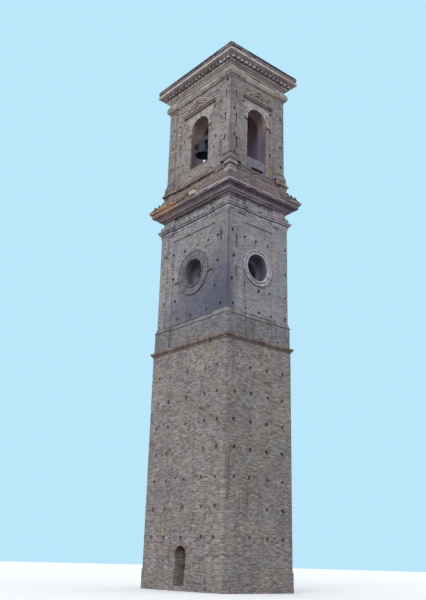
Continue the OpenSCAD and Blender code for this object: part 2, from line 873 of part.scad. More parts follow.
module top_architrave() {
    z = top_architrave_z;
    h = top_architrave_h;
    p = top_architrave_out;
    color(brick)
        course(belfry_w, belfry_d, belfry_room_w, belfry_room_d, concat(
            [[50, z], [50, z + 0.14 * h]],
            ovolo(60, z + 0.14 * h, 0.9 * p, z + 0.4 * h),
            [[p, z + 0.42 * h], [p, z + 0.72 * h], [0.8 * p, z + 0.72 * h], [0.8 * p, z + 0.88 * h],
                [60, z + h]]), pier_face, panel_recess);
}

module top_frieze() {
    z = top_frieze_z;
    h = top_frieze_h;
    color(brick)
        difference() {
            moulded_block(belfry_w, belfry_d, concat(
                [[60, z], [60, z + 0.4 * h], [130, z + 0.4 * h], [130, z + 0.6 * h]],
                ovolo(150, z + 0.6 * h, 270, z + 0.9 * h),
                [[dentil_band_out, z + 0.9 * h], [dentil_band_out, z + h]]));
            core_box(belfry_room_w, belfry_room_d, z - past, z + h + past);
        }
}

// Row of dentils along a side drawn along X, centred, one at each end set in by the same margin
module dentil_row(len) {
    count = floor((len - dentil_w) / dentil_pitch);
    for (i = [0:count])
        translate([(i - count / 2) * dentil_pitch - dentil_w / 2, -dentil_out, 0])
            cube([dentil_w, dentil_out + past, dentil_h]);
}

module dentil_course() {
    z = dentil_z;
    color(brick_red)
        difference() {
            union() {
                core_box(belfry_w + 2 * dentil_band_out, belfry_d + 2 * dentil_band_out, z, z + dentil_h);
                translate([0, 0, z]) {
                    on_side("front", belfry_w, belfry_d) dentil_row(belfry_w + 2 * dentil_out);
                    on_side("back", belfry_w, belfry_d) dentil_row(belfry_w + 2 * dentil_out);
                    on_side("left", belfry_w, belfry_d) dentil_row(belfry_d + 2 * dentil_band_out);
                    on_side("right", belfry_w, belfry_d) dentil_row(belfry_d + 2 * dentil_band_out);
                }
            }
            core_box(belfry_room_w, belfry_room_d, z - past, z + dentil_h + past);
        }
}

module top_cornice() {
    z = corona_z;
    h = corona_h;
    p = corona_out;
    color(brick)
        difference() {
            moulded_block(belfry_w, belfry_d, concat(
                [[dentil_out + 20, z], [dentil_out + 20, z + 0.08 * h], [p + corona_lip, z + 0.12 * h],
                    [p + corona_lip, z + 0.5 * h]],
                cavetto(p - 50, z + 0.5 * h, p, z + 0.8 * h),
                [[p, z + h]]));
            core_box(belfry_room_w, belfry_room_d, z - past, z + h + past);
        }
}

// Solid hipped form over a w by d plan, with an upright eave edge
module hip(w, d, z0, edge) {
    reach = 2 * max(w, d);
    intersection() {
        rotate([90, 0, 0])
            linear_extrude(height = reach, center = true)
                polygon([[-w / 2, z0], [w / 2, z0], [w / 2, z0 + edge], [0, z0 + edge + roof_slope * w / 2],
                    [-w / 2, z0 + edge]]);
        rotate([90, 0, 90])
            linear_extrude(height = reach, center = true)
                polygon([[-d / 2, z0], [d / 2, z0], [d / 2, z0 + edge], [0, z0 + edge + roof_slope * d / 2],
                    [-d / 2, z0 + edge]]);
    }
}

module roof_deck() {
    color(timber)
        difference() {
            hip(deck_w, deck_d, eave_z, deck_t);
            hip(belfry_room_w, belfry_room_d, eave_z - past, past + roof_slope * (deck_w - belfry_room_w) / 2);
        }
}

module roof_tiles() {
    color(tile)
        difference() {
            hip(deck_w + 2 * tile_out, deck_d + 2 * tile_out, eave_z + deck_t - roof_slope * tile_out, tile_t);
            hip(deck_w, deck_d, eave_z, deck_t);
        }
}

// Bearing blocks let into the jambs of the left arch, each bored for a gudgeon
module bell_bearings() {
    color(iron)
        for (s = [-1, 1])
            translate([bell_x, s * (arch_side_w / 2 - bearing_len / 2), bell_axis_z])
                difference() {
                    cube([bearing_size, bearing_len, bearing_size], center = true);
                    rotate([90, 0, 0])
                        cylinder(h = bearing_len + 2 * past, r = gudgeon_r + pin_clearance, center = true,
                            $fn = smooth);
                }
}

// Wooden headstock with iron straps and a gudgeon at each end
module bell_headstock() {
    strap_t = 14;
    strap_w = 90;
    translate([bell_x, 0, bell_axis_z]) {
        color(timber)
            translate([-headstock_t / 2, -headstock_len / 2, -headstock_foot])
                cube([headstock_t, headstock_len, headstock_h]);
        color(iron) {
            rotate([90, 0, 0])
                cylinder(h = arch_side_w - 20, r = gudgeon_r, center = true, $fn = smooth);
            for (s = [-1, 1])
                translate([-headstock_t / 2 - strap_t, s * headstock_len * 0.36 - strap_w / 2,
                        -headstock_foot])
                    cube([headstock_t + 2 * strap_t, strap_w, headstock_h + strap_t]);
        }
    }
}

// Outer radius of the bell at a share u of its height, from the mouth up
function bell_outer(u) = bell_r * (0.56 + 0.44 * pow(1 - u, 2.6) - 0.02 * sin(180 * u));
// Wall of the bell: thick at the sound bow, thin at the waist, thicker at the shoulder
function bell_wall(u) = bell_r * (0.062 + 0.06 * exp(-pow((u - 0.07) / 0.07, 2)) + 0.02 * u);

module bell() {
    steps = 16;
    color(bronze)
        translate([bell_x, 0, bell_mouth_z]) {
            rotate_extrude($fn = smooth)
                polygon(concat(
                    [for (i = [0:steps]) let (u = i / steps) [bell_outer(u), u * bell_h]],
                    [[0.45 * bell_r, bell_h + 25], [0, bell_h + 25], [0, bell_inner_h]],
                    [[0.4 * bell_r, bell_inner_h]],
                    [for (i = [steps - 2:-1:0]) let (u = i / steps)
                        [bell_outer(u) - bell_wall(u), u * bell_h]]));
            // Canons: a central boss and side loops that reach the headstock
            translate([0, 0, bell_h])
                cylinder(h = canon_h, r = 0.14 * bell_r, $fn = smooth);
            for (s = [-1, 1])
                translate([-45, s * 150 - 40, bell_h])
                    cube([90, 80, canon_h]);
            // Two cheeks and a pin that carry the clapper
            for (s = [-1, 1])
                translate([-40, s * 55 - 12, bell_pin_z - 40])
                    cube([80, 24, clapper_hang + 60]);
            translate([0, 0, bell_pin_z])
                rotate([90, 0, 0])
                    cylinder(h = 120, r = clapper_pin_r, center = true, $fn = smooth);
        }
}

module bell_clapper() {
    eye_r = 42;
    rod_r = 26;
    color(iron)
        translate([bell_x, 0, bell_mouth_z + bell_pin_z])
            difference() {
                union() {
                    rotate([90, 0, 0])
                        cylinder(h = 70, r = eye_r, center = true, $fn = smooth);
                    translate([0, 0, -clapper_len])
                        cylinder(h = clapper_len, r = rod_r, $fn = smooth);
                    translate([0, 0, -clapper_len])
                        sphere(r = clapper_ball_r, $fn = smooth);
                    translate([0, 0, -clapper_len - 1.9 * clapper_ball_r])
                        cylinder(h = 1.9 * clapper_ball_r, r = 0.45 * clapper_ball_r, $fn = smooth);
                }
                rotate([90, 0, 0])
                    cylinder(h = 70 + 2 * past, r = clapper_pin_r + pin_clearance, center = true, $fn = smooth);
            }
}

ground_floor();
shaft_wall_front();
shaft_wall_back();
shaft_wall_left();
shaft_wall_right();
string_course();
stage_base_course();
stage_floor();
stage_piers();
stage_wall_front();
stage_wall_back();
stage_wall_left();
stage_wall_right();
oculus_rings();
oculus_ledges();
mid_architrave();
mid_frieze();
mid_cornice();
mid_cornice_crown();
mid_weathering();
belfry_pedestal();
belfry_base_course();
belfry_floor();
belfry_pier_bases();
belfry_piers();
belfry_wall_front();
belfry_wall_back();
belfry_wall_left();
belfry_wall_right();
parapet_front();
parapet_back();
parapet_left();
parapet_right();
impost_blocks();
gable_hoods();
top_architrave();
top_frieze();
dentil_course();
top_cornice();
roof_deck();
roof_tiles();
bell_bearings();
bell_headstock();
bell();
bell_clapper();
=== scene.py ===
import math
import random

import bmesh
import bpy
from mathutils import Matrix, Vector


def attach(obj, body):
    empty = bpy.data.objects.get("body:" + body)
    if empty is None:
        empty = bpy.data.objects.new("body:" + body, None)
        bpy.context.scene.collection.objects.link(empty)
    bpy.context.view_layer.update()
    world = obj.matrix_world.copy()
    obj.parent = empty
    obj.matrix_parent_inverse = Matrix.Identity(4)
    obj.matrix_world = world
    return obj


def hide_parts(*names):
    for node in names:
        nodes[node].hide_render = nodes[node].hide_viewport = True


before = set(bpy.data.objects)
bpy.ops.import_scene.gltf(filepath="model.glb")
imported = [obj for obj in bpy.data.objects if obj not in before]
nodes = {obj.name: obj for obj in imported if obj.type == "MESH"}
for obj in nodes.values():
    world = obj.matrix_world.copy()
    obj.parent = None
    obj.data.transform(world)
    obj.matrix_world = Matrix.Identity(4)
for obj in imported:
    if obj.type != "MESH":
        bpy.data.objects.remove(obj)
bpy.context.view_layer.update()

scene = bpy.context.scene
scene.view_settings.view_transform = "Standard"


# Camera, light and floor. The camera stands at eye height off the near corner, tilted up and
# turned a little about its own axis. Soft light comes from the sky and from a wide sun on the
# left, so that the left face is the brighter one and the soffits stay dark.
def maths(operation, swapped=False):
    """A method for Wire that adds one Math node."""
    def method(self, *others):
        terms = (*others, self) if swapped else (self, *others)
        return self.tree.node("Math", {"operation": operation}, dict(enumerate(terms)))
    return method


class Wire:
    """One output of a node tree; arithmetic on it adds Math nodes."""

    def __init__(self, tree, socket):
        self.tree, self.socket = tree, socket

    def part(self, name):
        return Wire(self.tree, self.socket.node.outputs[name])

    __add__ = __radd__ = maths("ADD")
    __sub__, __rsub__ = maths("SUBTRACT"), maths("SUBTRACT", swapped=True)
    __mul__ = __rmul__ = maths("MULTIPLY")
    __truediv__, __gt__, __abs__ = maths("DIVIDE"), maths("GREATER_THAN"), maths("ABSOLUTE")
    floored, lesser, greater = maths("FLOOR"), maths("MINIMUM"), maths("MAXIMUM")


class Tree:
    """A node tree; node() is the one way to add to it."""

    def __init__(self, tree):
        self.tree = tree
        tree.nodes.clear()

    def node(self, kind, settings=None, inputs=None, out=0):
        made = self.tree.nodes.new("ShaderNode" + kind)
        for name, value in (settings or {}).items():
            if name == "stops":
                ramp = made.color_ramp.elements
                while len(ramp) < len(value):
                    ramp.new(1.0)
                for stop, (at, *colour) in zip(ramp, value):
                    stop.position = at
                    stop.color = (*colour, 1.0)
            else:
                setattr(made, name, value)
        for name, value in (inputs or {}).items():
            socket = made.inputs[name]
            if isinstance(value, Wire):
                self.tree.links.new(value.socket, socket)
            elif isinstance(value, tuple) and len(socket.default_value) == 4:
                socket.default_value = (*value, 1.0)
            else:
                socket.default_value = value
        return Wire(self, made.outputs[out]) if made.outputs else None

    def blend(self, a, b, share, mode="MIX"):
        return self.node("Mix", {"data_type": "RGBA", "blend_type": mode}, {0: share, 6: a, 7: b}, out=2)

    def times(self, a, b, share=1.0):
        return self.blend(a, b, share, "MULTIPLY")

    def step(self, value, low, high):
        return self.node("MapRange", {"interpolation_type": "SMOOTHSTEP"},
                         {"Value": value, "From Min": low, "From Max": high})

    def axes(self, vector):
        split = self.node("SeparateXYZ", {}, {0: vector})
        return split, split.part("Y"), split.part("Z")


camera_place = (-33.75, -39.08, 1.65)
camera_yaw, camera_pitch, camera_roll = (math.radians(a) for a in (40.09, 19.52, 1.51))
backdrop = (0.50, 0.80, 0.97)
floor_seen, floor_bounce = (0.80, 0.80, 0.79), (0.22, 0.22, 0.24)
floor_reach = 400.0

camera_data = bpy.data.cameras.new("camera")
camera_data.sensor_width = 36.0
camera_data.lens = 44.64
camera_data.clip_end = 1000.0
camera = bpy.data.objects.new("camera", camera_data)
scene.collection.objects.link(camera)
aside = Vector((math.cos(camera_yaw), -math.sin(camera_yaw), 0))
ahead = Vector((math.sin(camera_yaw) * math.cos(camera_pitch),
                math.cos(camera_yaw) * math.cos(camera_pitch), math.sin(camera_pitch)))
upward = aside.cross(ahead)
image_right = aside * math.cos(camera_roll) + upward * math.sin(camera_roll)
image_up = upward * math.cos(camera_roll) - aside * math.sin(camera_roll)
camera.matrix_world = (Matrix.Translation(camera_place)
                       @ Matrix((image_right, image_up, -ahead)).transposed().to_4x4())
scene.camera = camera

world = bpy.data.worlds.new("daylight")
world.use_nodes = True
scene.world = world
sky = Tree(world.node_tree)
sky_height = sky.axes(sky.node("TexCoord", out="Generated"))[2]
camera_ray = sky.node("LightPath", out="Is Camera Ray")
sky.node("OutputWorld", {}, {"Surface": sky.node("MixShader", {}, {
    0: camera_ray.greater(camera_ray.part("Is Glossy Ray")).greater(camera_ray.part("Is Transmission Ray")),
    1: sky.node("Background", {}, {
        "Color": sky.blend((0.84, 0.91, 1.0), (0.94, 0.96, 1.0), sky.step(sky_height, 0.0, 1.0)),
        "Strength": 0.22 + 1.05 * sky.step(sky_height, -0.3, 0.75)}),
    2: sky.node("Background", {}, {"Color": backdrop, "Strength": 1.0})})})

sun_data = bpy.data.lights.new("soft_sun", "SUN")
sun_data.energy = 1.45
sun_data.angle = math.radians(35)
sun_data.color = (1.0, 0.97, 0.93)
sun = bpy.data.objects.new("soft_sun", sun_data)
scene.collection.objects.link(sun)
sun.rotation_euler = Vector((0.80, 0.42, -0.43)).to_track_quat("-Z", "Y").to_euler()

floor_mesh = bpy.data.meshes.new("floor")
floor_mesh.from_pydata([(x * floor_reach, y * floor_reach, 0) for x, y in ((-1, -1), (1, -1), (1, 1), (-1, 1))],
                       [], [(0, 1, 2, 3)])
floor = bpy.data.objects.new("floor", floor_mesh)
scene.collection.objects.link(floor)
floor_paint = bpy.data.materials.new("floor_paint")
floor_paint.use_nodes = True
paint = Tree(floor_paint.node_tree)
paint.node("OutputMaterial", {}, {"Surface": paint.node("BsdfPrincipled", {}, {
    "Base Color": paint.blend(floor_bounce, floor_seen, paint.node("LightPath", out="Is Camera Ray")),
    "Roughness": 0.9})})
floor_mesh.materials.append(floor_paint)


# Ground floor. Old brick paving laid on a bed of mortar inside the shaft, seen only through the
# doorway. Its finish is the wall brick laid flat: long and short bricks in turn in every course,
# worn by the weather, with grey wash, dark streaks, and soffits darkened by soot and painted shade.
class Finish(Tree):
    """A new material; where is the place on the object in metres."""

    def __init__(self, name):
        self.material = bpy.data.materials.new(name)
        self.material.use_nodes = True
        super().__init__(self.material.node_tree)
        self.where = self.node("TexCoord", out="Object")

    def upward(self):
        """How far the surface faces up, from -1 to 1."""
        return self.axes(self.node("NewGeometry", out="True Normal"))[2]

    def noise(self, scale, detail=3.0, roughness=0.55, stretch=None):
        place = self.where
        if stretch:
            place = self.node("VectorMath", {"operation": "MULTIPLY"}, {0: place, 1: stretch})
        return self.node("TexNoise", {}, {"Vector": place, "Scale": scale, "Detail": detail,
                                          "Roughness": roughness})

    def surface(self, colour, height, depth, roughness=0.9, **inputs):
        inputs["Normal"] = self.node("Bump", {}, {"Height": height, "Distance": depth, "Strength": 0.9})
        inputs.update({"Base Color": colour, "Roughness": roughness})
        self.node("OutputMaterial", {}, {"Surface": self.node("BsdfPrincipled", {}, inputs)})
        return self.material


brick_long, brick_short, brick_course, brick_joint = 0.285, 0.14, 0.074, 0.014
mortar_colour, grime_and_shade_colour, lichen_colour = (0.225, 0.21, 0.19), (0.072, 0.062, 0.072), (0.12, 0.112, 0.10)
wall_reach = (2.75, 3.75)


def toned(tints, *factors):
    """Tints, each (place on the ramp, red, green, blue), times one factor or one for each channel."""
    factors *= 3 // len(factors)
    return [(at, *(c * factor for c, factor in zip(tint, factors))) for at, *tint in tints]


def bonded(f, u, v):
    """Brick bond over u and v in metres: distance to the nearest joint, and two random tones."""
    unit = brick_long + brick_short + 2 * brick_joint
    row = (v / brick_course).floored()
    drift = f.node("TexWhiteNoise", {"noise_dimensions": "1D"}, {"W": row})
    along = u / unit + row * 0.5 + drift * 0.22
    pair = along.floored()
    place = (along - pair) * unit
    short = place > brick_long + brick_joint
    place = place - short * (brick_long + brick_joint)
    length = (brick_long + brick_joint) - short * (brick_long - brick_short)
    side = place.lesser(length - place)
    up = v - row * brick_course
    edge = side.lesser(up.lesser(brick_course - up))
    brick = f.node("CombineXYZ", {}, {0: pair * 2 + short, 1: row, 2: 0.5})
    tone = f.node("TexWhiteNoise", {"noise_dimensions": "3D"}, {"Vector": brick})
    return edge, tone, f.node("SeparateColor", {}, {0: tone.part("Color")}, out="Green")


def weathered(f, colour, soot_and_shade=0.7, wear=1.0):
    """Uneven weather over a colour: broad and small patches, dirt streaks, soffits darkened by soot and painted shade,
    lichen on top.
    """
    up = f.upward()
    broad = f.noise(0.42)
    small = f.noise(3.1, 4.0, 0.6, (0.8, 0.8, 2.6))
    streak = f.noise(1.0, 4.0, 0.6, (2.6, 2.6, 0.22))
    colour = f.times(colour, (0.62 + 0.62 * broad) * (0.80 + 0.40 * f.step(small, 0.36, 0.64)), wear)
    colour = f.blend(colour, grime_and_shade_colour, 0.55 * wear * f.step(streak, 0.54, 0.74))
    # Faces turned down are darkened: painted shade, with some soot.
    colour = f.blend(colour, grime_and_shade_colour, soot_and_shade * f.step(0.0 - up, 0.35, 0.9))
    return f.blend(colour, lichen_colour, 0.75 * f.step(up + 0.5 * small, 0.75, 1.15))


def shade_lines(levels, share):
    """Dark level lines, each (foot, top), as stains: painted shade at the steps of mouldings."""
    return [((0.075, 0.06, 0.07), share, (-9.0, -9.0, low), (9.0, 9.0, high), 0.02) for low, high in levels]


def stained_and_shaded(f, colour, stains_and_shades):
    """Ragged stains and patches of painted light and shade over a colour: each (colour, share, lowest corner, highest
    corner, soft edge).
    """
    ragged = f.noise(1.4, 4.0, 0.6) - 0.5
    for shade, share, low, high, soft in stains_and_shades:
        mark = share
        for value, a, b in zip(f.axes(f.where), low, high):
            edge = (value - a).lesser(b - value) + ragged * min(3.0 * soft, 0.9)
            mark = mark * f.step(edge, -0.5 * soft, 0.5 * soft)
        colour = f.blend(colour, shade, mark)
    return colour


def masonry(name, tints, wash=(0.27, 0.27, 0.285), washed=0.35, stains_and_shades=(), hollow=None, wear=1.0):
    """Finish for a plain brick wall. The hollow has a half plan, a wall, and low and high colours for
    the jambs and then the room, each with the levels that they change between. These colours are
    painted light and shade inside the openings: dark jambs that grow lighter upwards and bluer in the
    front and back walls, and a paler room beyond."""
    f = Finish(name)
    x, y, z = f.axes(f.where)
    level = abs(f.upward()) > 0.75
    sideways = abs(x) * (1 / wall_reach[0]) > abs(y) * (1 / wall_reach[1])
    fine = f.noise(14.0, 3.0, 0.6)
    sway = f.noise(0.7, 1.0)
    u = (x + y) * (1 - level) + (y * sideways + x * (1 - sideways)) * level + fine * 0.020
    v = z * (1 - level) + (abs(x) * sideways + abs(y) * (1 - sideways)) * level + sway * 0.05 + fine * 0.016
    edge, tone, second = bonded(f, u, v)
    joint = 1 - f.step(edge, brick_joint * 0.3, brick_joint * 0.8)
    patch = f.noise(1.15, 3.0, 0.6, (1.0, 1.0, 1.9))
    colour = f.node("ValToRGB", {"stops": tints}, {"Fac": tone * 0.75 + patch * 0.9 - 0.32})
    colour = f.times(colour, 0.80 + 0.40 * second)
    colour = f.blend(colour, mortar_colour, joint * 0.85)
    colour = f.blend(colour, wash, washed * f.step(f.noise(0.8, 5.0, 0.62, (1.0, 1.0, 0.55)), 0.40, 0.66))
    colour = f.times(colour, f.blend((0.99, 1.0, 1.04), (1.06, 1.0, 0.92), f.step(f.noise(0.9), 0.35, 0.65)))
    colour = weathered(f, stained_and_shaded(f, colour, stains_and_shades), wear=wear)
    # Painted light and shade inside the openings: the jambs, then the room beyond.
    if hollow:
        half, wall, *shaded_coats = hollow
        inside = (half[0] - abs(x)).lesser(half[1] - abs(y))
        for (low, high, low_z, high_z), start, end, cool_shade in zip(shaded_coats, (0.0, 0.4 * wall), (0.2, wall), (1.0, 0.0)):
            shaded_coat = f.blend(low, high, f.step(z, low_z, high_z))
            shaded_coat = f.times(shaded_coat, (0.90, 1.0, 1.30), (1 - sideways) * cool_shade)
            colour = f.blend(colour, shaded_coat, 0.9 * f.step(inside, start, end))
    return f.surface(colour, (1 - joint) + tone * 0.35 + fine * 0.6, 0.011)


def dress(material, *names):
    """Gives solids of the frame their finish."""
    for name in names:
        nodes[name].data.materials.clear()
        nodes[name].data.materials.append(material)


old_tints = [(0.0, 0.100, 0.080, 0.085), (0.25, 0.225, 0.175, 0.165), (0.45, 0.275, 0.250, 0.232),
             (0.65, 0.345, 0.315, 0.280), (0.82, 0.265, 0.255, 0.275), (1.0, 0.440, 0.395, 0.335)]
dress(masonry("paving_brick", toned(old_tints, 0.8)), "ground_floor")


# Shaft. Solid brick walls on a chamfered plinth, with the square holes that the builders' poles
# stood in, left open in level rows about every 1.8 m. The doorway has a ring of bricks on edge.
turns = {"front": 0, "right": 1, "back": 2, "left": 3}
flips = {"front": 1, "right": 1, "back": -1, "left": -1}
corners = ((-1, -1), (1, -1), (1, 1), (-1, 1))
upright = Vector((0, 0, 1))
weld, knife_lead = 1e-5, 0.3


def on_side(side, point):
    """A point drawn with x along a side, y into the wall and the plan's middle at the origin."""
    x, y, z = point
    for _ in range(turns[side]):
        x, y = -y, x
    return Vector((x, y, z))


def side_axes(side):
    return on_side(side, (1, 0, 0)), on_side(side, (0, 1, 0)), upright


def around(half, front=(), flank=()):
    """The four sides of a plan: name, half width, distance of the face, and the side's own values."""
    return ([(side, half[0], half[1], *front) for side in ("front", "back")]
            + [(side, half[1], half[0], *flank) for side in ("left", "right")])


class Blocks:
    """Closed blocks gathered into one mesh, each with its own tone."""

    def __init__(self, seed):
        self.points, self.faces, self.tones = [], [], []
        self.chance = random.Random(seed)

    def wobble(self, reach):
        return self.chance.uniform(-reach, reach)

    def loft(self, rings, tone=None):
        first, count = len(self.points), len(rings[0])
        for ring in rings:
            self.points.extend(ring)
        last = first + (len(rings) - 1) * count
        sides = [(k + i, k + (i + 1) % count, k + count + (i + 1) % count, k + count + i)
                 for k in range(first, last, count) for i in range(count)]
        ends = [tuple(range(first, first + count)), tuple(range(last, last + count))]
        self.faces += sides + ends
        self.tones += [self.chance.random() if tone is None else tone] * (len(sides) + 2)

    def box(self, centre, half, axes, tone=None):
        a, b, c = (Vector(axis) * reach for axis, reach in zip(axes, half))
        self.loft([[Vector(centre) + end * c + sa * a + sb * b for sa, sb in corners] for end in (-1, 1)], tone)

    def side_box(self, side, centre, half, tone=None):
        self.box(on_side(side, centre), half, side_axes(side), tone)

    def made(self, name):
        mesh = bpy.data.meshes.new(name)
        mesh.from_pydata([tuple(p) for p in self.points], [], self.faces)
        mesh.attributes.new("tone", "FLOAT", "FACE").data.foreach_set("value", self.tones)
        turned_out = bmesh.new()
        turned_out.from_mesh(mesh)
        bmesh.ops.recalc_face_normals(turned_out, faces=turned_out.faces)
        turned_out.to_mesh(mesh)
        turned_out.free()
        return mesh

    def place(self, name, material, slot="moulded_brick", body="tower", replaced=()):
        placed(self.made(name), name, material, body, replaced)


def placed(mesh, name, material, body="tower", replaced=()):
    """A new piece that rides on a body, with its finish and the nodes it stands for."""
    piece = bpy.data.objects.new(name, mesh)
    scene.collection.objects.link(piece)
    mesh.materials.clear()
    mesh.materials.append(material)
    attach(piece, body)
    if replaced:
        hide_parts(*replaced)


def welded(mesh):
    """A mesh opened for editing, with the points that fall together made one."""
    shape = bmesh.new()
    shape.from_mesh(mesh)
    bmesh.ops.remove_doubles(shape, verts=shape.verts, dist=weld)
    return shape


def carved(node, material, holes, seed):
    """A copy of a wall with holes cut in it: each is (side, x, z, width, height, depth, face y)."""
    cutter = Blocks(seed)
    for side, x, z, width, height, depth, face in holes:
        cutter.loft([[on_side(side, (x + sx * width / 2, y, z + sz * height / 2)) for sx, sz in corners]
                     for y in (face - knife_lead, face + depth)])
    knife = bpy.data.objects.new("knife", cutter.made("knife"))
    wall = bpy.data.objects.new("wall", nodes[node].data.copy())
    for thing in (knife, wall):
        scene.collection.objects.link(thing)
    shape = welded(wall.data)
    shape.to_mesh(wall.data)
    shape.free()
    cut = wall.modifiers.new("cut", "BOOLEAN")
    cut.operation, cut.solver, cut.object = "DIFFERENCE", "EXACT", knife
    bpy.context.view_layer.update()
    mesh = bpy.data.meshes.new_from_object(wall.evaluated_get(bpy.context.evaluated_depsgraph_get()))
    mesh.name = node + "_holed"
    for thing in (knife, wall):
        bpy.data.objects.remove(thing)
    mesh.shade_flat()
    placed(mesh, node + "_holed", material, replaced=(node,))


pole_hole = (0.20, 0.22, 0.36)


def hole(side, x, z, face, chance, size=pole_hole):
    """One pole hole, its width and height a little off its size."""
    width, height = (reach * chance.uniform(0.85, 1.15) for reach in size[:2])
    return side, x, z, width, height, size[2], -face


def pole_holes(side, xs, zs, face, chance, missing=0.0):
    """Level rows of pole holes, each a little out of line, some bricked up long ago."""
    return [hole(side, x + chance.uniform(-0.08, 0.08), z + chance.uniform(-0.04, 0.04), face, chance)
            for z in zs for x in xs if chance.random() >= missing]


shaft_brick = masonry("shaft_brick", old_tints, washed=0.22)
shaft_rows = [3.2 + 1.8 * k for k in range(7)]
shaft_half, shaft_end = (3.01, 4.01), 3.2
shaft_chance = random.Random(31)
for side, _, face, xs, seed in around(shaft_half, ((-2.2, -0.75, 0.75, 2.2), 5), ((-1.9, 0.0, 1.9), 6)):
    holes = pole_holes(side, xs, shaft_rows, face, shaft_chance, missing=0.1)
    if side in ("front", "back"):
        for flank, x in (("left", shaft_end), ("right", -shaft_end)):
            holes += pole_holes(flank, (x * flips[side],), shaft_rows, shaft_half[0], shaft_chance)
    carved("shaft_wall_" + side, shaft_brick, holes, seed)


edge_pitch = 0.075


def arch_bricks(blocks, side, centre_z, radius, length, face, depth):
    """Bricks on edge round an arch, standing a little proud of the face and of the opening."""
    inner = radius - 0.006
    count = round(math.pi * (radius + length * 0.3) / edge_pitch)
    for k in range(count):
        a0, a1 = math.pi * (k + 0.07) / count, math.pi * (k + 0.93) / count
        proud = 0.008 + blocks.wobble(0.005)
        outer = radius + length + blocks.wobble(0.008)
        blocks.loft([[on_side(side, (r * math.cos(a), y, centre_z + r * math.sin(a)))
                      for r, a in ((inner, a0), (outer, a0), (outer, a1), (inner, a1))]
                     for y in (-face - proud, depth - face)])


def shaped_brick(name, tints, joint_depth=0.006, soot_and_shade=0.7, stains_and_shades=(), wear=1.0):
    """Finish for bricks that are modelled one by one: a tone for each, with its own specks and wear."""
    f = Finish(name)
    tone = f.node("Attribute", {"attribute_name": "tone"}, out="Fac")
    fine = f.noise(16.0, 4.0, 0.65)
    colour = f.node("ValToRGB", {"stops": tints}, {"Fac": tone * 0.8 + f.noise(1.0) * 0.7 - 0.25})
    colour = stained_and_shaded(f, f.times(colour, 0.66 + 0.66 * fine), stains_and_shades)
    return f.surface(weathered(f, colour, soot_and_shade, wear), fine, joint_depth)


rose_tints = [(0.0, 0.130, 0.090, 0.080), (0.3, 0.215, 0.145, 0.122), (0.55, 0.262, 0.190, 0.162),
              (0.8, 0.290, 0.232, 0.196), (1.0, 0.330, 0.275, 0.225)]
rose_brick = shaped_brick("rose_brick", rose_tints)
door_bricks = Blocks(41)
arch_bricks(door_bricks, "left", 2.15, 0.55, brick_long, shaft_half[0], 0.22)
door_bricks.place("door_arch_bricks", rose_brick)


# String course and the moulded courses above it. Each is a row of bricks shaped before firing,
# laid on a mortar bed side by side and mitred at the corners. Some have lost their noses.
curve_steps, row_lap, half_joint = 5, 0.003, 0.004
quarter = [math.pi / 2 * i / curve_steps for i in range(curve_steps + 1)]
nose_row = brick_short + 0.01


def ovolo(p0, z0, p1, z1):
    return [(p0 + (p1 - p0) * math.sin(a), z0 + (z1 - z0) * (1 - math.cos(a))) for a in quarter]


def cavetto(p0, z0, p1, z1):
    return [(p0 + (p1 - p0) * (1 - math.cos(a)), z0 + (z1 - z0) * math.sin(a)) for a in quarter]


def bead(p, z0, z1, out):
    half_turn = (math.pi / 2 * i / curve_steps for i in range(2 * curve_steps + 1))
    return [(p + out * math.sin(a), (z0 + z1) / 2 - (z1 - z0) / 2 * math.cos(a)) for a in half_turn]


def plan_runs(half_plan, pier=0.0, recess=0.0):
    """Straight runs round a plan: start, direction, outward direction, length, turn at each end."""
    runs = []
    for side, half, face in (("front", *half_plan), ("right", *half_plan[::-1]),
                             ("back", *half_plan), ("left", *half_plan[::-1])):
        chain = [(-half, -face, 1, 0, 2 * half, 1, 1)]
        if pier:
            chain = [(-half, -face, 1, 0, pier, 1, 1), (pier - half, -face, 0, 1, recess, 1, -1),
                     (pier - half, recess - face, 1, 0, 2 * (half - pier), -1, -1),
                     (half - pier, recess - face, 0, -1, recess, -1, 1), (half - pier, -face, 1, 0, pier, 1, 1)]
        runs += [(on_side(side, (x, y, 0)), on_side(side, (dx, dy, 0)), on_side(side, (dy, -dx, 0)), *rest)
                 for x, y, dx, dy, *rest in chain]
    return runs


class Course(Blocks):
    """Rows of shaped bricks along runs, over a foot."""

    def __init__(self, seed, runs, foot):
        super().__init__(seed)
        self.runs, self.foot = runs, foot

    def lay(self, outline, length, keep=None, broken=0.08, loss=0.07, back=-0.12, push=0.006):
        """One row, with the outline as its face: points of (reach, height over the foot) from below."""
        (first_p, first_z), *rest = outline
        shape = [(p, self.foot + z) for p, z in ((back, first_z - row_lap), (first_p, first_z - row_lap), *rest,
                                                 (back, outline[-1][1] + row_lap))]
        high = max(p for p, _ in outline)
        for start, along, out, total, first_turn, last_turn in self.runs:
            count = max(1, round(total / length))
            for i in range(count):
                s0, s1 = total * i / count, total * (i + 1) / count
                if keep and not keep(start + along * (s0 + s1) / 2):
                    continue
                limit = high - loss * self.chance.uniform(0.4, 1.0) if self.chance.random() < broken else high
                shift, lift = self.wobble(push), self.wobble(push * 0.5)
                self.loft([[start + along * (s + turn * min(p, limit)) + out * (min(p, limit) + shift)
                            + upright * (z + lift) for p, z in shape]
                           for s, turn in ((s0 + half_joint * (i > 0), -first_turn * (i == 0)),
                                           (s1 - half_joint * (i < count - 1), last_turn * (i == count - 1)))])


def mortar_finish(name, colour, soot_and_shade=0.7):
    f = Finish(name)
    grit = f.noise(22.0, 5.0, 0.7)
    tint = f.blend(colour, tuple(0.6 * c for c in colour), f.noise(2.4, 4.0))
    return f.surface(weathered(f, f.times(tint, 0.7 + 0.6 * grit), soot_and_shade), grit, 0.008)


lime_mortar = mortar_finish("lime_mortar", (0.20, 0.17, 0.15))


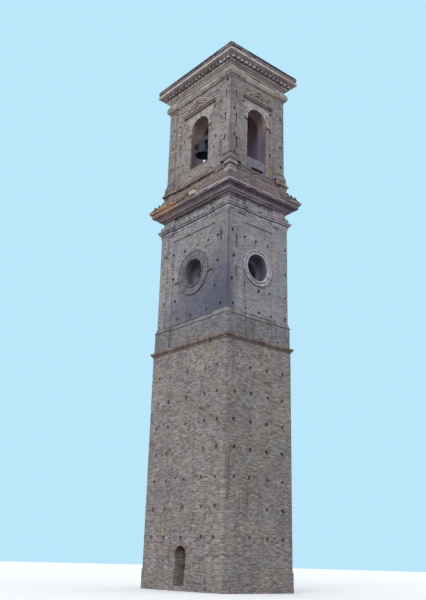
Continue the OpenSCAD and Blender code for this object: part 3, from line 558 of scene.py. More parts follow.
def bedded(node, depth, room, material=lime_mortar):
    """The mortar bed behind a course: the node's own shape, drawn back behind its bricks."""
    mesh = nodes[node].data.copy()
    shape = welded(mesh)
    shape.normal_update()
    moves = []
    for vert in shape.verts:
        inner = abs(vert.co.x) < room[0] + 0.02 and abs(vert.co.y) < room[1] + 0.02
        pull = []
        for axis, reach in enumerate((0.0, 0.0, 0.012) if inner else (depth, depth, 0.012)):
            lean = sum(face.normal[axis] for face in vert.link_faces if abs(face.normal[axis]) > 0.3)
            pull.append(-math.copysign(reach, lean) if abs(lean) > 0.2 else 0.0)
        moves.append((vert, Vector(pull)))
    for vert, pull in moves:
        vert.co += pull
    mesh.name = node + "_bed"
    shape.to_mesh(mesh)
    shape.free()
    mesh.shade_flat()
    placed(mesh, node + "_bed", material, replaced=(node,))


bedded("string_course", 0.03, (1.51, 2.51))
string_bricks = Course(42, plan_runs(shaft_half), 15.7)
string_bricks.lay([(0.05, 0.0), (0.05, 0.0875)] + ovolo(0.05, 0.0875, 0.15, 0.21)
                  + [(0.17, 0.21), (0.17, 0.2975), (0.0, 0.35)], nose_row, loss=0.05)
string_bricks.place("string_course_bricks", rose_brick, replaced=("string_course",))


# Block under the stage. It breaks forward under the corner piers and ends in a bead and a hollow,
# both of shaped bricks. The floor inside is a low brick vault.
stage_half, stage_room, stage_z = (2.89, 3.89), (1.57, 2.57), 17.80
block_w, panel_recess = 1.48, 0.12
stage_runs = plan_runs(stage_half, block_w, panel_recess)
stage_tints = toned(old_tints, 1.09, 1.16, 1.27)
dress(masonry("base_brick", toned(stage_tints, 0.72), (0.20, 0.205, 0.24), 0.5), "stage_base_course")
vault_brick = masonry("vault_brick", toned(old_tints, 1.1), (0.50, 0.44, 0.48), 0.8)
dress(vault_brick, "stage_floor")
course_tints = [(0.0, 0.19, 0.17, 0.17), (0.3, 0.30, 0.275, 0.28), (0.6, 0.36, 0.345, 0.355), (1.0, 0.46, 0.44, 0.45)]
base_bead = Course(43, stage_runs, stage_z - 0.35)
base_bead.lay(bead(0.068, 0.0, 0.12, 0.06) + cavetto(0.068, 0.12, 0.03, 0.26) + [(0.03, 0.35)],
              brick_long, loss=0.05, back=0.0)
base_bead.place("stage_base_bead", shaped_brick("bead_brick", toned(course_tints, 0.62)))


# Stage walls and piers. Brick throughout, with rows of pole holes at the places that the photograph
# shows, and tall open joints beside the corner bricks. The far sides repeat the near ones.
def holes_at(side, spots, face, chance, size=pole_hole):
    """Pole holes at given places, each (distance from the plan's middle towards +x or +y, height)."""
    return [hole(side, flips[side] * x, z, face, chance, size) for x, z in spots]


def holes_round(half, front, flank, chance, size=pole_hole):
    """Pole holes on all four sides, at the places given for a front and for a flank."""
    return [cut for side, _, face, spots in around(half, (front,), (flank,))
            for cut in holes_at(side, spots, face, chance, size)]


def joints_at(side, spots, face, wide=0.15, deep=0.16):
    """Tall open joints, each (distance from the plan's middle, foot, top)."""
    return [(side, flips[side] * x, (low + high) / 2, wide, high - low, deep, -face) for x, low, high in spots]


# The hollow's colours are painted light and shade inside the round windows.
stage_brick = masonry("stage_brick", stage_tints, (0.28, 0.30, 0.34), 0.55, wear=0.6, hollow=(
    (2.77, 3.77), 1.2, ((0.078, 0.058, 0.072), (0.125, 0.093, 0.115), 20.4, 22.4),
    ((0.55, 0.48, 0.60), (0.55, 0.48, 0.60), 20.4, 22.4)), stains_and_shades=[
    ((0.33, 0.33, 0.36), 0.25, (-2.9, -4.4, 17.9), (3.4, -3.6, 25.1), 0.5),
    # Painted shadow: a soft blue-grey shadow over the left face from the near corner, widening towards the foot.
    *(((0.090, 0.090, 0.140), 0.44, (-3.4, -4.9, 15.0), (-2.6, reach, top), 1.7) for reach, top in (
        (3.3, 19.2), (2.3, 20.2), (2.0, 20.6), (0.6, 21.4), (-0.8, 22.7), (-2.0, 24.6))),
    ((0.12, 0.10, 0.11), 0.65, (-2.98, -3.95, 17.9), (-2.80, -3.80, 25.1), 0.03)])
front_wall_holes = [(-1.23, 23.43), (-0.16, 23.38), (1.03, 23.37), (-1.16, 18.11), (0.12, 18.07), (1.27, 18.06),
                    (0.15, 19.68), (1.20, 19.77)]
front_pier_holes = [(-2.50, 23.57), (-2.36, 21.67), (-2.50, 19.94), (-2.38, 18.18), (2.69, 23.49), (2.70, 21.60),
                    (2.67, 19.76), (2.60, 18.09)]
side_wall_holes = [(-1.57, 23.42), (-0.38, 23.42), (1.12, 23.37), (-2.43, 19.70), (2.42, 23.44), (2.36, 21.49),
                   (2.04, 19.66), (-1.60, 18.20), (0.10, 18.18), (1.60, 18.20)]
side_pier_holes = [(-2.68, 23.45), (-2.72, 21.52), (-3.17, 18.23), (3.20, 23.45), (3.25, 19.70)]
stage_chance = random.Random(7)
for side, _, face, spots, joints, seed in around(stage_half, (front_wall_holes, [(-1.23, 19.75, 20.09)], 8),
                                                 (side_wall_holes, [], 9)):
    carved("stage_wall_" + side, stage_brick, holes_at(side, spots, face, stage_chance, (0.20, 0.22, 0.5))
           + joints_at(side, joints, face, 0.10, 0.4), seed)
pier_holes = holes_round(stage_half, front_pier_holes, side_pier_holes, stage_chance)
for side, face, spots in (("front", stage_half[1], [(-2.12, 22.35, 23.30), (-2.14, 20.2, 21.0)]),
                          ("left", stage_half[0], [(-3.12, 22.80, 23.70)]),
                          ("right", stage_half[0], [(3.12, 20.80, 21.70)]),
                          ("back", stage_half[1], [(2.12, 22.35, 23.30)])):
    pier_holes += joints_at(side, spots, face)
carved("stage_piers", stage_brick, pier_holes, 10)


# Round windows. A ring of bricks on edge round each, with a raised rim, a groove, a flat band and an
# outer bead, and short level ledges beside the two larger rings. The ring under each is of mortar.
oculus_z, splay_r, ring_pitch = 21.40, 0.985, 0.078
ledge_half, ledge_long, ledge_count = (0.057, 0.049, 0.064), 0.5, 4
ledge_drop, ledge_top = 0.29, 0.23
# Thin dark lines down the edges where the architrave and frieze break forward over the near pier: a dark joint with
# painted shade.
break_shade = ((0.09, 0.07, 0.08), 0.7)
break_shade_lines = [(*break_shade, (-3.4, -2.46, 25.1), (-2.6, -2.37, 26.5), 0.02),
                (*break_shade, (-1.46, -4.3, 25.1), (-1.37, -3.6, 26.5), 0.02)]
# The first stain is painted shadow: the blue-grey shadow of the left face, over its ring bricks.
course_brick = shaped_brick("course_brick", course_tints, stains_and_shades=[
    ((0.095, 0.092, 0.130), 0.82, (-3.4, -2.4, 15.8), (-2.6, 2.0, 23.4), 1.2),
    ((0.56, 0.54, 0.58), 0.70, (-1.6, -4.4, 19.9), (1.6, -3.6, 22.9), 0.3),
    ((0.56, 0.52, 0.56), 0.65, (-1.3, -4.4, 25.0), (3.4, -3.6, 25.75), 0.3), *break_shade_lines])
dress(mortar_finish("pale_mortar", (0.33, 0.315, 0.33), 0.3), "oculus_rings", "oculus_ledges")
ring_bricks = Blocks(44)
for side, _, face, outer in around(stage_half, (1.34,), (1.68,)):
    ring = ([(splay_r + r, out) for r, out in ((-0.006, -0.05), (-0.006, 0.054), (0.033, 0.096), (0.113, 0.096),
                                               (0.113, 0.0265), (0.24, 0.0265), (0.24, 0.0645))]
            + [(outer + r, out) for r, out in ((-0.07, 0.0645), (-0.07, 0.096), (0.004, 0.096), (0.004, -0.05))])
    count = round(math.pi * (splay_r + outer) / ring_pitch)
    for k in range(count):
        if ring_bricks.chance.random() < 0.03:
            continue
        lift = ring_bricks.wobble(0.005)
        ring_bricks.loft([[on_side(side, (r * math.cos(a), panel_recess - face - out - lift,
                                          oculus_z + r * math.sin(a))) for r, out in ring]
                          for a in (2 * math.pi * (k + 0.06) / count, 2 * math.pi * (k + 0.94) / count)])
    for edge in (-1, 1) if side in ("left", "right") else ():
        for k in range(ledge_count):
            x = edge * (math.sqrt(outer ** 2 - ledge_top ** 2) + ledge_long * (k + 0.5) / ledge_count)
            ring_bricks.side_box(side, (x, panel_recess - face - ledge_half[1], oculus_z - ledge_drop), ledge_half)
ring_bricks.place("oculus_ring_bricks", course_brick)


# Architrave and frieze under the middle cornice. Shaped bricks again over a plain band, breaking
# forward over the piers, and a brick frieze with a bead along its foot and pole holes over it.
architrave_z, frieze_z, cornice_z, crown_z = 25.10, 25.80, 26.50, 27.15
bedded("mid_architrave", 0.05, stage_room)
architrave_bricks = Course(45, stage_runs, architrave_z)
architrave_bricks.lay([(0.02, 0.0), (0.02, 0.126), (0.06, 0.126), (0.06, 0.315)], brick_long, broken=0.03, loss=0.04)
architrave_bricks.lay(ovolo(0.08, 0.315, 0.18375, 0.476) + [(0.245, 0.49), (0.245, 0.602), (0.04, 0.70)],
                      nose_row, broken=0.10)
architrave_bricks.place("mid_architrave_bricks", course_brick, replaced=("mid_architrave",))
# Painted light and shade: the frieze darker by the near corner under the cornice, and lightened along the rest of the
# front.
frieze_brick = masonry("frieze_brick", stage_tints, (0.24, 0.25, 0.28), 0.5, stains_and_shades=[
    *break_shade_lines,
    ((0.13, 0.10, 0.12), 0.7, (-3.4, -4.4, 25.7), (-1.3, -3.4, 26.6), 0.2),
    ((0.62, 0.51, 0.58), 0.65, (-1.3, -4.4, 25.7), (3.4, -3.4, 26.6), 0.2),
    ((0.15, 0.12, 0.13), 0.5, (-3.4, -3.6, 25.7), (-2.4, -1.6, 26.6), 0.3)])
frieze_spots = [[(x, frieze_z + 0.52) for x in xs] for xs in ((-2.1, -1.2, 0.1, 1.2), (-2.7, -1.6, -0.4, 1.0, 2.2))]
carved("mid_frieze", frieze_brick, holes_round(stage_half, *frieze_spots, stage_chance, (0.17, 0.18, 0.5)), 11)
frieze_bead = Course(67, stage_runs, frieze_z)
frieze_bead.lay(bead(0.056, 0.035, 0.252, 0.035), brick_long, loss=0.04, back=0.0)
frieze_bead.place("mid_frieze_bead", course_brick)


# Middle cornice. Four rows of shaped bricks, each corbelled out over the last, under a course of
# pale stone slabs. The rows are dark and purplish, and the far end of the left side is ochre.
ochre_stains = [((0.40, 0.27, 0.17), 0.40, (-5.0, -0.4, 26.85), (-3.0, 5.0, 27.6), 0.2),
                ((0.60, 0.33, 0.16), 0.70, (-5.0, 1.3, 26.85), (-3.0, 5.0, 27.6), 0.25),
                ((0.55, 0.36, 0.27), 0.55, (-5.0, 0.8, 26.4), (-3.0, 5.0, 26.9), 0.2)]
cornice_tints = [(0.0, 0.24, 0.185, 0.21), (0.5, 0.37, 0.295, 0.33), (1.0, 0.48, 0.40, 0.43)]
# Painted light and shade: the lowest rows lightened, the top rows darkened under the slabs, and a shade line at the
# foot of each row.
cornice_brick = shaped_brick("cornice_brick", cornice_tints, soot_and_shade=0.3, stains_and_shades=[
    *ochre_stains,
    ((0.74, 0.62, 0.66), 0.50, (-5.0, -5.0, 26.4), (5.0, -3.5, 26.72), 0.04),
    ((0.46, 0.36, 0.33), 0.40, (-5.0, -3.6, 26.4), (-2.8, 5.0, 26.72), 0.04),
    ((0.085, 0.062, 0.075), 0.55, (-3.9, -5.0, 26.79), (4.0, -3.6, 27.03), 0.03),
    ((0.140, 0.105, 0.110), 0.35, (-3.9, -3.7, 26.79), (-3.0, -1.4, 27.03), 0.1),
    *shade_lines([(26.575, 26.60), (26.69, 26.72), (26.77, 26.81), (26.90, 26.945)], 0.5),
    ((0.20, 0.145, 0.16), 0.35, (0.4, -4.8, 26.4), (4.0, -3.6, 27.2), 0.8)])
bedded("mid_cornice", 0.05, stage_room)
cornice_runs = plan_runs(stage_half)
cornice_bricks = Course(46, cornice_runs, cornice_z)
cornice_bricks.lay([(0.064, 0.0), (0.064, 0.078)], brick_long, broken=0.03, loss=0.03)
cornice_bricks.lay(ovolo(0.1408, 0.078, 0.256, 0.195), nose_row)
cornice_bricks.lay([(0.2944, 0.195), (0.2944, 0.273)] + cavetto(0.32, 0.273, 0.5376, 0.403), nose_row)
cornice_bricks.lay([(0.608, 0.403), (0.608, 0.52)], brick_long, broken=0.12)
cornice_bricks.place("mid_cornice_bricks", cornice_brick, replaced=("mid_cornice",))
pale_stone_tints = [(0.0, 0.30, 0.275, 0.28), (0.4, 0.44, 0.42, 0.43), (1.0, 0.62, 0.60, 0.61)]
# Painted shade along the slabs' foot. The slabs are also darker away from the near corner.
pale_stone = shaped_brick("pale_stone", pale_stone_tints, 0.004, 0.3, [
    *ochre_stains,
    ((0.14, 0.11, 0.125), 0.85, (-5.0, -5.0, 26.9), (5.0, 5.0, 27.07), 0.03),
    ((0.24, 0.19, 0.19), 0.70, (-1.5, -5.0, 26.9), (4.0, -3.8, 27.3), 1.2),
    ((0.30, 0.25, 0.235), 0.60, (-4.0, -2.0, 26.9), (-3.0, 0.2, 27.3), 0.9)])
cornice_slabs = Course(47, cornice_runs, cornice_z)
cornice_slabs.lay([(0.64, 0.52), (0.64, 0.65)], 0.55, broken=0.25, loss=0.06, back=0.40, push=0.008)
cornice_slabs.place("mid_cornice_slabs", pale_stone)


# Crown of the middle cornice and the slope behind it. Shaped blocks carry rows of clay tiles up to
# the belfry's foot. Over most of the front and part of the left side they are lost, down to the
# rough, stepped bricks of their bedding.
belfry_half = (2.75, 3.75)
crown_outer, crown_h, slope_run, slope_rise = 0.81, 0.30, 0.80, 0.85
crown_front_x, crown_side_y = 1.99, -0.16


def crown_left(point):
    """True where the crowning course still stands."""
    lost_front = point.x < crown_front_x and point.y < -belfry_half[1] / 2
    lost_side = point.x < -belfry_half[0] / 2 and point.y < crown_side_y
    return not (lost_front or lost_side)


def rough_rows(blocks, runs, foot, rows, low, high, standing, sizes, missing, stick, deep, past_ends):
    """Rough bricks where a course is lost, stepped back from a low to a high (reach, level)."""
    for k in range(rows):
        z = foot + (k + 0.5) * brick_course
        share = min(1.0, max(0.0, (z - low[1]) / (high[1] - low[1])))
        p = low[0] + (high[0] - low[0]) * share
        for start, along, out, total, *_ in runs:
            s, end = (-p - 0.05, total + p) if past_ends else (0.0, total)
            while s < end:
                long = blocks.chance.choice(sizes)
                middle = start + along * (s + long / 2)
                if (not standing(middle) and blocks.chance.random() > missing
                        and (s + long < end or not past_ends)):
                    reach = p + blocks.chance.uniform(*stick) - deep
                    tall = brick_course / 2 - 0.006 + (blocks.wobble(0.003) if past_ends else 0.0)
                    blocks.box(middle + out * reach + upright * z, (long / 2 - 0.006, deep, tall),
                               (along, out, upright))
                s += long


rough_brick = shaped_brick("rough_brick", toned(rose_tints, 0.90, 0.94, 1.08), 0.012, stains_and_shades=[
    ((0.15, 0.115, 0.12), 0.60, (-4.0, -4.6, 27.2), (-2.4, -0.6, 28.6), 0.4),
    ((0.30, 0.19, 0.16), 0.45, (-3.6, -3.4, 27.2), (-2.6, -0.6, 28.6), 0.4),
    ((0.30, 0.20, 0.17), 0.35, (-0.6, -4.6, 27.2), (1.4, -3.6, 28.4), 0.4)])
dress(lime_mortar, "mid_weathering")
rough_bricks = Blocks(48)
rough_rows(rough_bricks, cornice_runs, crown_z + 0.02, 14, (0.48, crown_z + 0.12), (-0.01, crown_z + 1.08), crown_left,
           (brick_short, brick_long, 0.20, brick_long), 0.10, (-0.03, 0.05), 0.10, True)
rough_bricks.place("mid_bedding_bricks", rough_brick)

bedded("mid_cornice_crown", 0.05, (3.0, 4.0))
crown_blocks = Course(49, cornice_runs, crown_z)
crown_blocks.lay(ovolo(0.58, 0.0, 0.77, 0.165) + [(0.805, 0.18), (0.805, 0.29)], 0.36, crown_left,
                 broken=0.22, loss=0.10, back=0.38, push=0.004)
end_stone = Blocks(69)
end_stone.side_box("front", (-3.485, -0.56, crown_z + 0.145), (0.19, 0.29, 0.145))
end_stone.place("crown_end_stone",
                shaped_brick("end_stone", [(0.0, 0.50, 0.46, 0.36), (1.0, 0.64, 0.58, 0.46)], 0.004, 0.3))
crown_tints = [(0.0, 0.14, 0.11, 0.10), (0.5, 0.24, 0.19, 0.165), (1.0, 0.34, 0.28, 0.24)]
crown_blocks.place("mid_crown_blocks", shaped_brick("crown_brick", crown_tints, stains_and_shades=ochre_stains), "tiles",
                   replaced=("mid_cornice_crown",))


def clay_tile(blocks, foot, up_slope, across, normal, length, foot_r, head_r, hollow_up=False, sides=6):
    """One barrel tile from its foot up the slope, round side up for a cover and down for a channel."""
    thick, squash = 0.014, -0.85 if hollow_up else 0.85
    arc = [(math.cos(math.pi * i / sides), squash * math.sin(math.pi * i / sides)) for i in range(sides + 1)]
    blocks.loft([[foot + up_slope * at + across * (x * radius) + normal * (y * radius)
                  for radius, points in ((r, arc), (r - thick, arc[::-1])) for x, y in points]
                 for at, r in ((0.0, foot_r), (length, head_r))])


tile_tints = [(0.0, 0.105, 0.085, 0.075), (0.35, 0.18, 0.125, 0.10), (0.65, 0.245, 0.165, 0.125),
              (1.0, 0.30, 0.23, 0.18)]
clay = shaped_brick("clay", tile_tints, 0.004, stains_and_shades=[
    ((0.070, 0.075, 0.095), 0.7, (1.6, -5.0, 27.0), (4.0, -3.0, 28.6), 0.3),
    ((0.24, 0.175, 0.12), 0.4, (-5.0, -0.4, 26.9), (-2.8, 5.0, 28.4), 0.3)])
slope_tiles = Blocks(50)
slope_pitch, slope_rows, slope_tile = 0.21, 4, 0.30
slope_length = math.hypot(slope_run, slope_rise)
for start, along, out, total, *_ in cornice_runs:
    up_slope = (out * -slope_run + upright * slope_rise) / slope_length
    normal = along.cross(up_slope)
    normal *= math.copysign(1.0, normal.z)
    count = round((total + 2 * crown_outer) / slope_pitch)
    for i in range(count):
        s = -crown_outer + (total + 2 * crown_outer) * (i + 0.5) / count
        for row in range(slope_rows):
            t = 0.02 + row * (slope_length - slope_tile) / (slope_rows - 1)
            inset = crown_outer - t * slope_run / slope_length
            if s - 0.1 < -inset or s + 0.1 > total + inset or not crown_left(start + along * s):
                continue
            foot = (start + along * (s + slope_tiles.wobble(0.01)) + out * (crown_outer - 0.065)
                    + upright * (crown_z + crown_h - 0.05) + up_slope * (t + slope_tiles.wobble(0.015))
                    + normal * 0.012)
            clay_tile(slope_tiles, foot, up_slope, along, normal, slope_tile, 0.085, 0.075)
slope_tiles.place("mid_slope_tiles", clay, "tiles")


# Block under the belfry and the moulded course on top of it. Only one block of the mouldings is left
# at the near corner, of paler brick, and beside it rough bricks step back over the sloping core.
base_z, floor_z, pier_face = 28.45, 29.15, 0.85
corner_end, front_end, side_end = (-2.23, -3.37), 1.90, -2.15
belfry_room = (1.36, 2.68)
base_runs, plain_runs = plan_runs(belfry_half, pier_face, panel_recess / 2), plan_runs(belfry_half)
dress(masonry("pedestal_brick", toned(old_tints, 0.92, 0.80, 0.78), washed=0.15), "belfry_pedestal")
bedded("belfry_base_course", 0.05, belfry_room)


def at_corner(point):
    return point.x < corner_end[0] and point.y < corner_end[1]


def base_left(point):
    """True where the moulded course under the belfry still stands."""
    front_lost = point.y < 0.3 - belfry_half[1] and corner_end[0] < point.x < front_end
    side_lost = point.x < 0.3 - belfry_half[0] and corner_end[1] < point.y < side_end
    return not (front_lost or side_lost)


base_bricks, corner_block = Course(51, base_runs, base_z), Course(68, base_runs, base_z)
for blocks, keep, broken in ((base_bricks, lambda point: base_left(point) and not at_corner(point), 0.35),
                             (corner_block, at_corner, 0.0)):
    blocks.lay([(0.15, 0.0), (0.15, 0.21)], brick_long, keep, broken)
    blocks.lay(bead(0.20, 0.238, 0.406, 0.075) + cavetto(0.20, 0.406, 0.13, 0.595) + [(0.13, 0.70)],
               nose_row, keep, broken, loss=0.10)
corner_block.runs = plain_runs
corner_block.lay([(0.14, -0.48), (0.17, -0.42), (0.19, -0.33), (0.19, 0.0)], nose_row, at_corner)
block_tints = [(0.0, 0.24, 0.21, 0.185), (0.4, 0.34, 0.30, 0.265), (1.0, 0.43, 0.39, 0.345)]
# The first and last stains are painted shade lines, at the block's top and across its foot.
corner_block.place("belfry_corner_block", shaped_brick("block_brick", block_tints, soot_and_shade=0.6, stains_and_shades=[
    ((0.09, 0.07, 0.08), 0.8, (-3.2, -4.2, 29.02), (-2.0, -3.0, 29.16), 0.05),
    ((0.40, 0.365, 0.385), 0.6, (-3.2, -4.2, 27.9), (-2.0, -3.0, 28.66), 0.05),
    ((0.10, 0.08, 0.09), 0.8, (-3.2, -4.2, 28.40), (-2.0, -3.0, 28.50), 0.04)]))
worn_tints = [(0.0, 0.11, 0.08, 0.07), (0.4, 0.21, 0.158, 0.138), (0.75, 0.275, 0.22, 0.19), (1.0, 0.34, 0.29, 0.25)]
base_bricks.place("belfry_base_bricks", shaped_brick("worn_brick", worn_tints, 0.012, soot_and_shade=0.75),
                  replaced=("belfry_base_course",))
ruin_bricks = Blocks(52)
rough_rows(ruin_bricks, plain_runs, base_z, 9, (0.13, base_z + 0.105), (-0.036, base_z + 0.595), base_left,
           (brick_short, brick_long, 0.21), 0.12, (-0.03, 0.04), 0.08, False)
ruin_bricks.place("belfry_base_core_bricks", rough_brick)


# Belfry floor, pier bases, piers and walls. The floor is a brick vault. The piers stand on small
# moulded bases, and the walls between them have a sunk face under a stepped head, all of brick.
dress(vault_brick, "belfry_floor")
# Painted shade: dark level lines at the top and the foot of the pier bases.
dress(masonry("pier_base_brick", old_tints, (0.28, 0.275, 0.33), 0.6,
              stains_and_shades=shade_lines([(29.60, 29.80), (29.13, 29.24)], 0.9)), "belfry_pier_bases")
# The hollow's colours are painted light and shade inside the arches. The first two stains are painted light under the
# hoods over the front and left arches; the fifth is a painted shade line over the pier bases by the near corner.
belfry_brick = masonry("belfry_brick", toned(old_tints, 1.08), (0.35, 0.34, 0.35), 0.5, hollow=(
    (2.63, 3.63), 1.0, ((0.135, 0.093, 0.115), (0.36, 0.215, 0.170), 31.6, 34.4),
    ((0.31, 0.26, 0.34), (0.54, 0.39, 0.34), 32.5, 35.0)), stains_and_shades=[
    ((0.62, 0.52, 0.50), 0.75, (-1.4, -3.9, 34.3), (1.4, -3.5, 35.1), 0.2),
    ((0.62, 0.57, 0.50), 0.50, (-3.0, -1.6, 34.3), (-2.5, 1.4, 35.2), 0.3),
    ((0.17, 0.155, 0.19), 0.38, (-2.78, -4.0, 29.8), (-2.25, -3.6, 36.3), 0.06),
    ((0.30, 0.205, 0.20), 0.30, (-2.12, -4.0, 29.8), (-1.84, -3.6, 36.3), 0.08),
    ((0.10, 0.08, 0.09), 0.75, (-3.0, -4.0, 29.76), (-1.85, -2.85, 29.87), 0.05),
    ((0.12, 0.10, 0.11), 0.55, (-2.85, -3.85, 29.9), (-2.68, -3.68, 36.3), 0.03),
    ((0.27, 0.165, 0.14), 0.45, (1.22, -3.9, 29.2), (1.42, -3.5, 36.2), 0.08),
    ((0.22, 0.22, 0.15), 0.40, (1.50, -3.9, 29.2), (1.72, -3.5, 36.2), 0.08)])
front_wall_holes = [(-1.45, 34.62), (1.42, 34.64), (1.40, 33.05), (1.36, 31.05)]
front_pier_holes = [(-2.41, 33.53), (-2.37, 31.32), (-2.29, 29.95), (2.40, 34.60), (2.38, 32.10), (2.42, 30.40)]
front_joints = [(-2.20, 34.49, 35.19), (-2.19, 32.0, 33.2), (-2.15, 30.2, 31.20)]
side_wall_holes = [(-2.52, 34.64), (-1.71, 34.62), (-2.57, 33.22), (1.91, 34.59), (1.88, 33.02), (2.00, 30.97),
                   (-1.93, 31.87), (-2.58, 31.06), (-1.73, 31.06), (-1.45, 29.38), (2.45, 34.62), (2.50, 31.00)]
side_pier_holes = [(-3.30, 36.1), (3.15, 34.60), (3.20, 32.90), (3.10, 31.00)]
side_joints = [(-3.21, 34.59, 35.31), (-3.12, 32.64, 33.34), (-3.09, 31.03, 31.46)]
belfry_chance = random.Random(12)
for side, _, face, spots, seed in around(belfry_half, (front_wall_holes, 13), (side_wall_holes, 14)):
    carved("belfry_wall_" + side, belfry_brick, holes_at(side, spots, face, belfry_chance, (0.18, 0.20, 0.42)), seed)
pier_holes = holes_round(belfry_half, front_pier_holes, side_pier_holes, belfry_chance)
for side, _, face, spots in around(belfry_half, (front_joints,), (side_joints,)):
    towards = -1 if side == "back" else 1
    pier_holes += joints_at(side, [(towards * x, low, high) for x, low, high in spots], face)
carved("belfry_piers", belfry_brick, pier_holes, 15)


# Arches. Round rings of bricks on edge, with shaped impost blocks at the springing. The front and
# back openings hold smooth plastered parapets with a drain slot, the side ones brick parapets under
# a coping of bricks on edge.
arch_crown_z, front_arch_r, side_arch_r = 34.45, 0.99, 1.05
top_tints = [(0.0, 0.25, 0.205, 0.185), (0.3, 0.38, 0.325, 0.285), (0.6, 0.48, 0.425, 0.38), (1.0, 0.58, 0.52, 0.47)]
arch_brick = shaped_brick("arch_brick", toned(top_tints, 0.98), soot_and_shade=0.4)
dress(lime_mortar, "impost_blocks")
arch_ring, impost_bricks = Blocks(53), Blocks(54)
impost_h, impost_row, impost_pitch = 0.20, 0.08, 0.15
for side, _, face, radius in around(belfry_half, (front_arch_r,), (side_arch_r,)):
    arch_bricks(arch_ring, side, arch_crown_z - radius, radius, brick_long - 0.02, face - panel_recess, 0.25)
    for edge in (-1, 1):
        for row, stand in enumerate((0.028, 0.046, 0.062)):
            for k in range(2):
                x = edge * (radius + impost_pitch * (k + 0.5))
                z = arch_crown_z - radius - impost_h + impost_row * row
                impost_bricks.side_box(side, (x, panel_recess - face - stand / 2, z), (0.072, stand / 2 + 0.004, 0.037))
arch_ring.place("belfry_arch_bricks", arch_brick)
impost_bricks.place("impost_bricks", arch_brick)


def plaster_finish(name):
    """Finish for smooth lime plaster, blue-grey with damp, and crazed here and there."""
    f = Finish(name)
    small = f.noise(6.0, 5.0, 0.6)
    colour = f.node("ValToRGB", {"stops": [(0.25, 0.155, 0.140, 0.175), (0.55, 0.215, 0.195, 0.235),
                                           (0.8, 0.285, 0.262, 0.300)]}, {"Fac": f.noise(1.8, 5.0)})
    crack = f.node("TexVoronoi", {"feature": "DISTANCE_TO_EDGE"}, {"Vector": f.where, "Scale": 2.3})
    crazed = (1 - f.step(crack, 0.0, 0.012)) * f.step(small, 0.5, 0.6)
    colour = f.blend(colour, grime_and_shade_colour, 0.6 * crazed)
    return f.surface(weathered(f, colour), small - crazed * 0.8, 0.006, 0.85)


dress(plaster_finish("plaster"), "parapet_front", "parapet_back")
dress(belfry_brick, "parapet_left", "parapet_right")
coping, coping_count = Blocks(55), 28
for side in ("left", "right"):
    for k in range(coping_count):
        coping.side_box(side, (side_arch_r * (2 * (k + 0.5) / coping_count - 1), panel_recess - belfry_half[0] + 0.17,
                               floor_z + 0.995 + coping.wobble(0.006)), (0.031, 0.182 + coping.wobble(0.004), 0.06))
coping.place("parapet_coping", rose_brick)


# Gable hoods over the arches. Three raking rows of bricks on edge over two level rows, each stepped
# out over the one below, on a bed of mortar. Rows are (drop or height, half height, share of reach).
hood_z, hood_rise, hood_out, hood_edge, level_end = 35.02, 1.0, 0.26, 0.15, 0.05
raking_rows = ((0.055, 0.052, 1.0), (0.165, 0.052, 0.86), (0.30, 0.075, 0.65))
level_rows = ((0.06, 0.055, 0.65), (0.165, 0.045, 1.0))
top_mortar = mortar_finish("top_mortar", (0.38, 0.34, 0.32), 0.2)
dress(top_mortar, "gable_hoods")
hood_bricks = Blocks(56)
for side, _, face, half in around(belfry_half, (1.52,), (1.91,)):
    face = panel_recess - face
    axis_x, axis_y, _ = side_axes(side)
    rake = hood_rise / half
    slant = math.atan(rake)
    length = half / math.cos(slant)
    count = round(length / edge_pitch)
    for edge in (-1, 1):
        uphill = (axis_x * -edge + upright * rake).normalized()
        square = (axis_x * edge * math.sin(slant) + upright * math.cos(slant)).normalized()
        for k in range(count):
            t = length * (k + 0.5) / count
            top = on_side(side, (edge * half, 0, hood_z + hood_edge)) + uphill * t
            if hood_bricks.chance.random() < 0.04:
                continue
            for drop, tall, share in raking_rows:
                stand = share * hood_out / 2
                if k * edge_pitch < drop * 0.9 or t > length - 0.02 - drop * rake * 0.5:
                    continue
                hood_bricks.box(top - square * drop + axis_y * (face - stand - 0.006 + hood_bricks.wobble(0.004)),
                                (0.032, tall, stand), (uphill, square, axis_y))
    count = round(2 * (half - level_end) / nose_row)
    for k in range(count):
        x = (half - level_end) * (2 * (k + 0.5) / count - 1)
        for low, tall, share in level_rows:
            stand = share * hood_out / 2
            hood_bricks.side_box(side, (x, face - stand - 0.004 + hood_bricks.wobble(0.004), hood_z + low),
                                 (0.07, stand, tall))
hood_tints = [(0.0, 0.26, 0.19, 0.17), (0.5, 0.40, 0.32, 0.285), (1.0, 0.52, 0.44, 0.395)]
hood_bricks.place("gable_hood_bricks", shaped_brick("hood_brick", hood_tints, soot_and_shade=0.0, wear=0.6))


# Architrave, frieze and dentils of the top cornice. Shaped bricks breaking forward over the piers,
# corbelled bed courses, and a row of dentils, limewashed near the front corner and bare elsewhere.
top_z, top_frieze_z, dentil_z, corona_z, eave_z = 36.27, 37.06, 37.60, 37.85, 38.30
top_brick = shaped_brick("top_brick", toned(top_tints, 0.84), soot_and_shade=0.2, wear=0.5, stains_and_shades=[
    ((0.62, 0.53, 0.48), 0.35, (-2.0, -4.3, 36.0), (4.0, -3.5, 37.6), 0.5),
    ((0.70, 0.60, 0.52), 0.40, (-4.2, -3.2, 37.1), (-2.5, 4.5, 37.7), 0.3)])
bedded("top_architrave", 0.03, belfry_room, top_mortar)
top_bricks = Course(57, plan_runs(belfry_half, pier_face, panel_recess), top_z)
top_bricks.lay([(0.05, 0.0), (0.05, 0.1106)], brick_long, broken=0.03, loss=0.03)
top_bricks.lay(ovolo(0.06, 0.1106, 0.225, 0.316) + [(0.25, 0.3318)], nose_row)
top_bricks.lay([(0.25, 0.3318), (0.25, 0.5688)], brick_long, broken=0.10)
top_bricks.lay([(0.20, 0.5688), (0.20, 0.6952), (0.06, 0.79)], brick_long, broken=0.10)
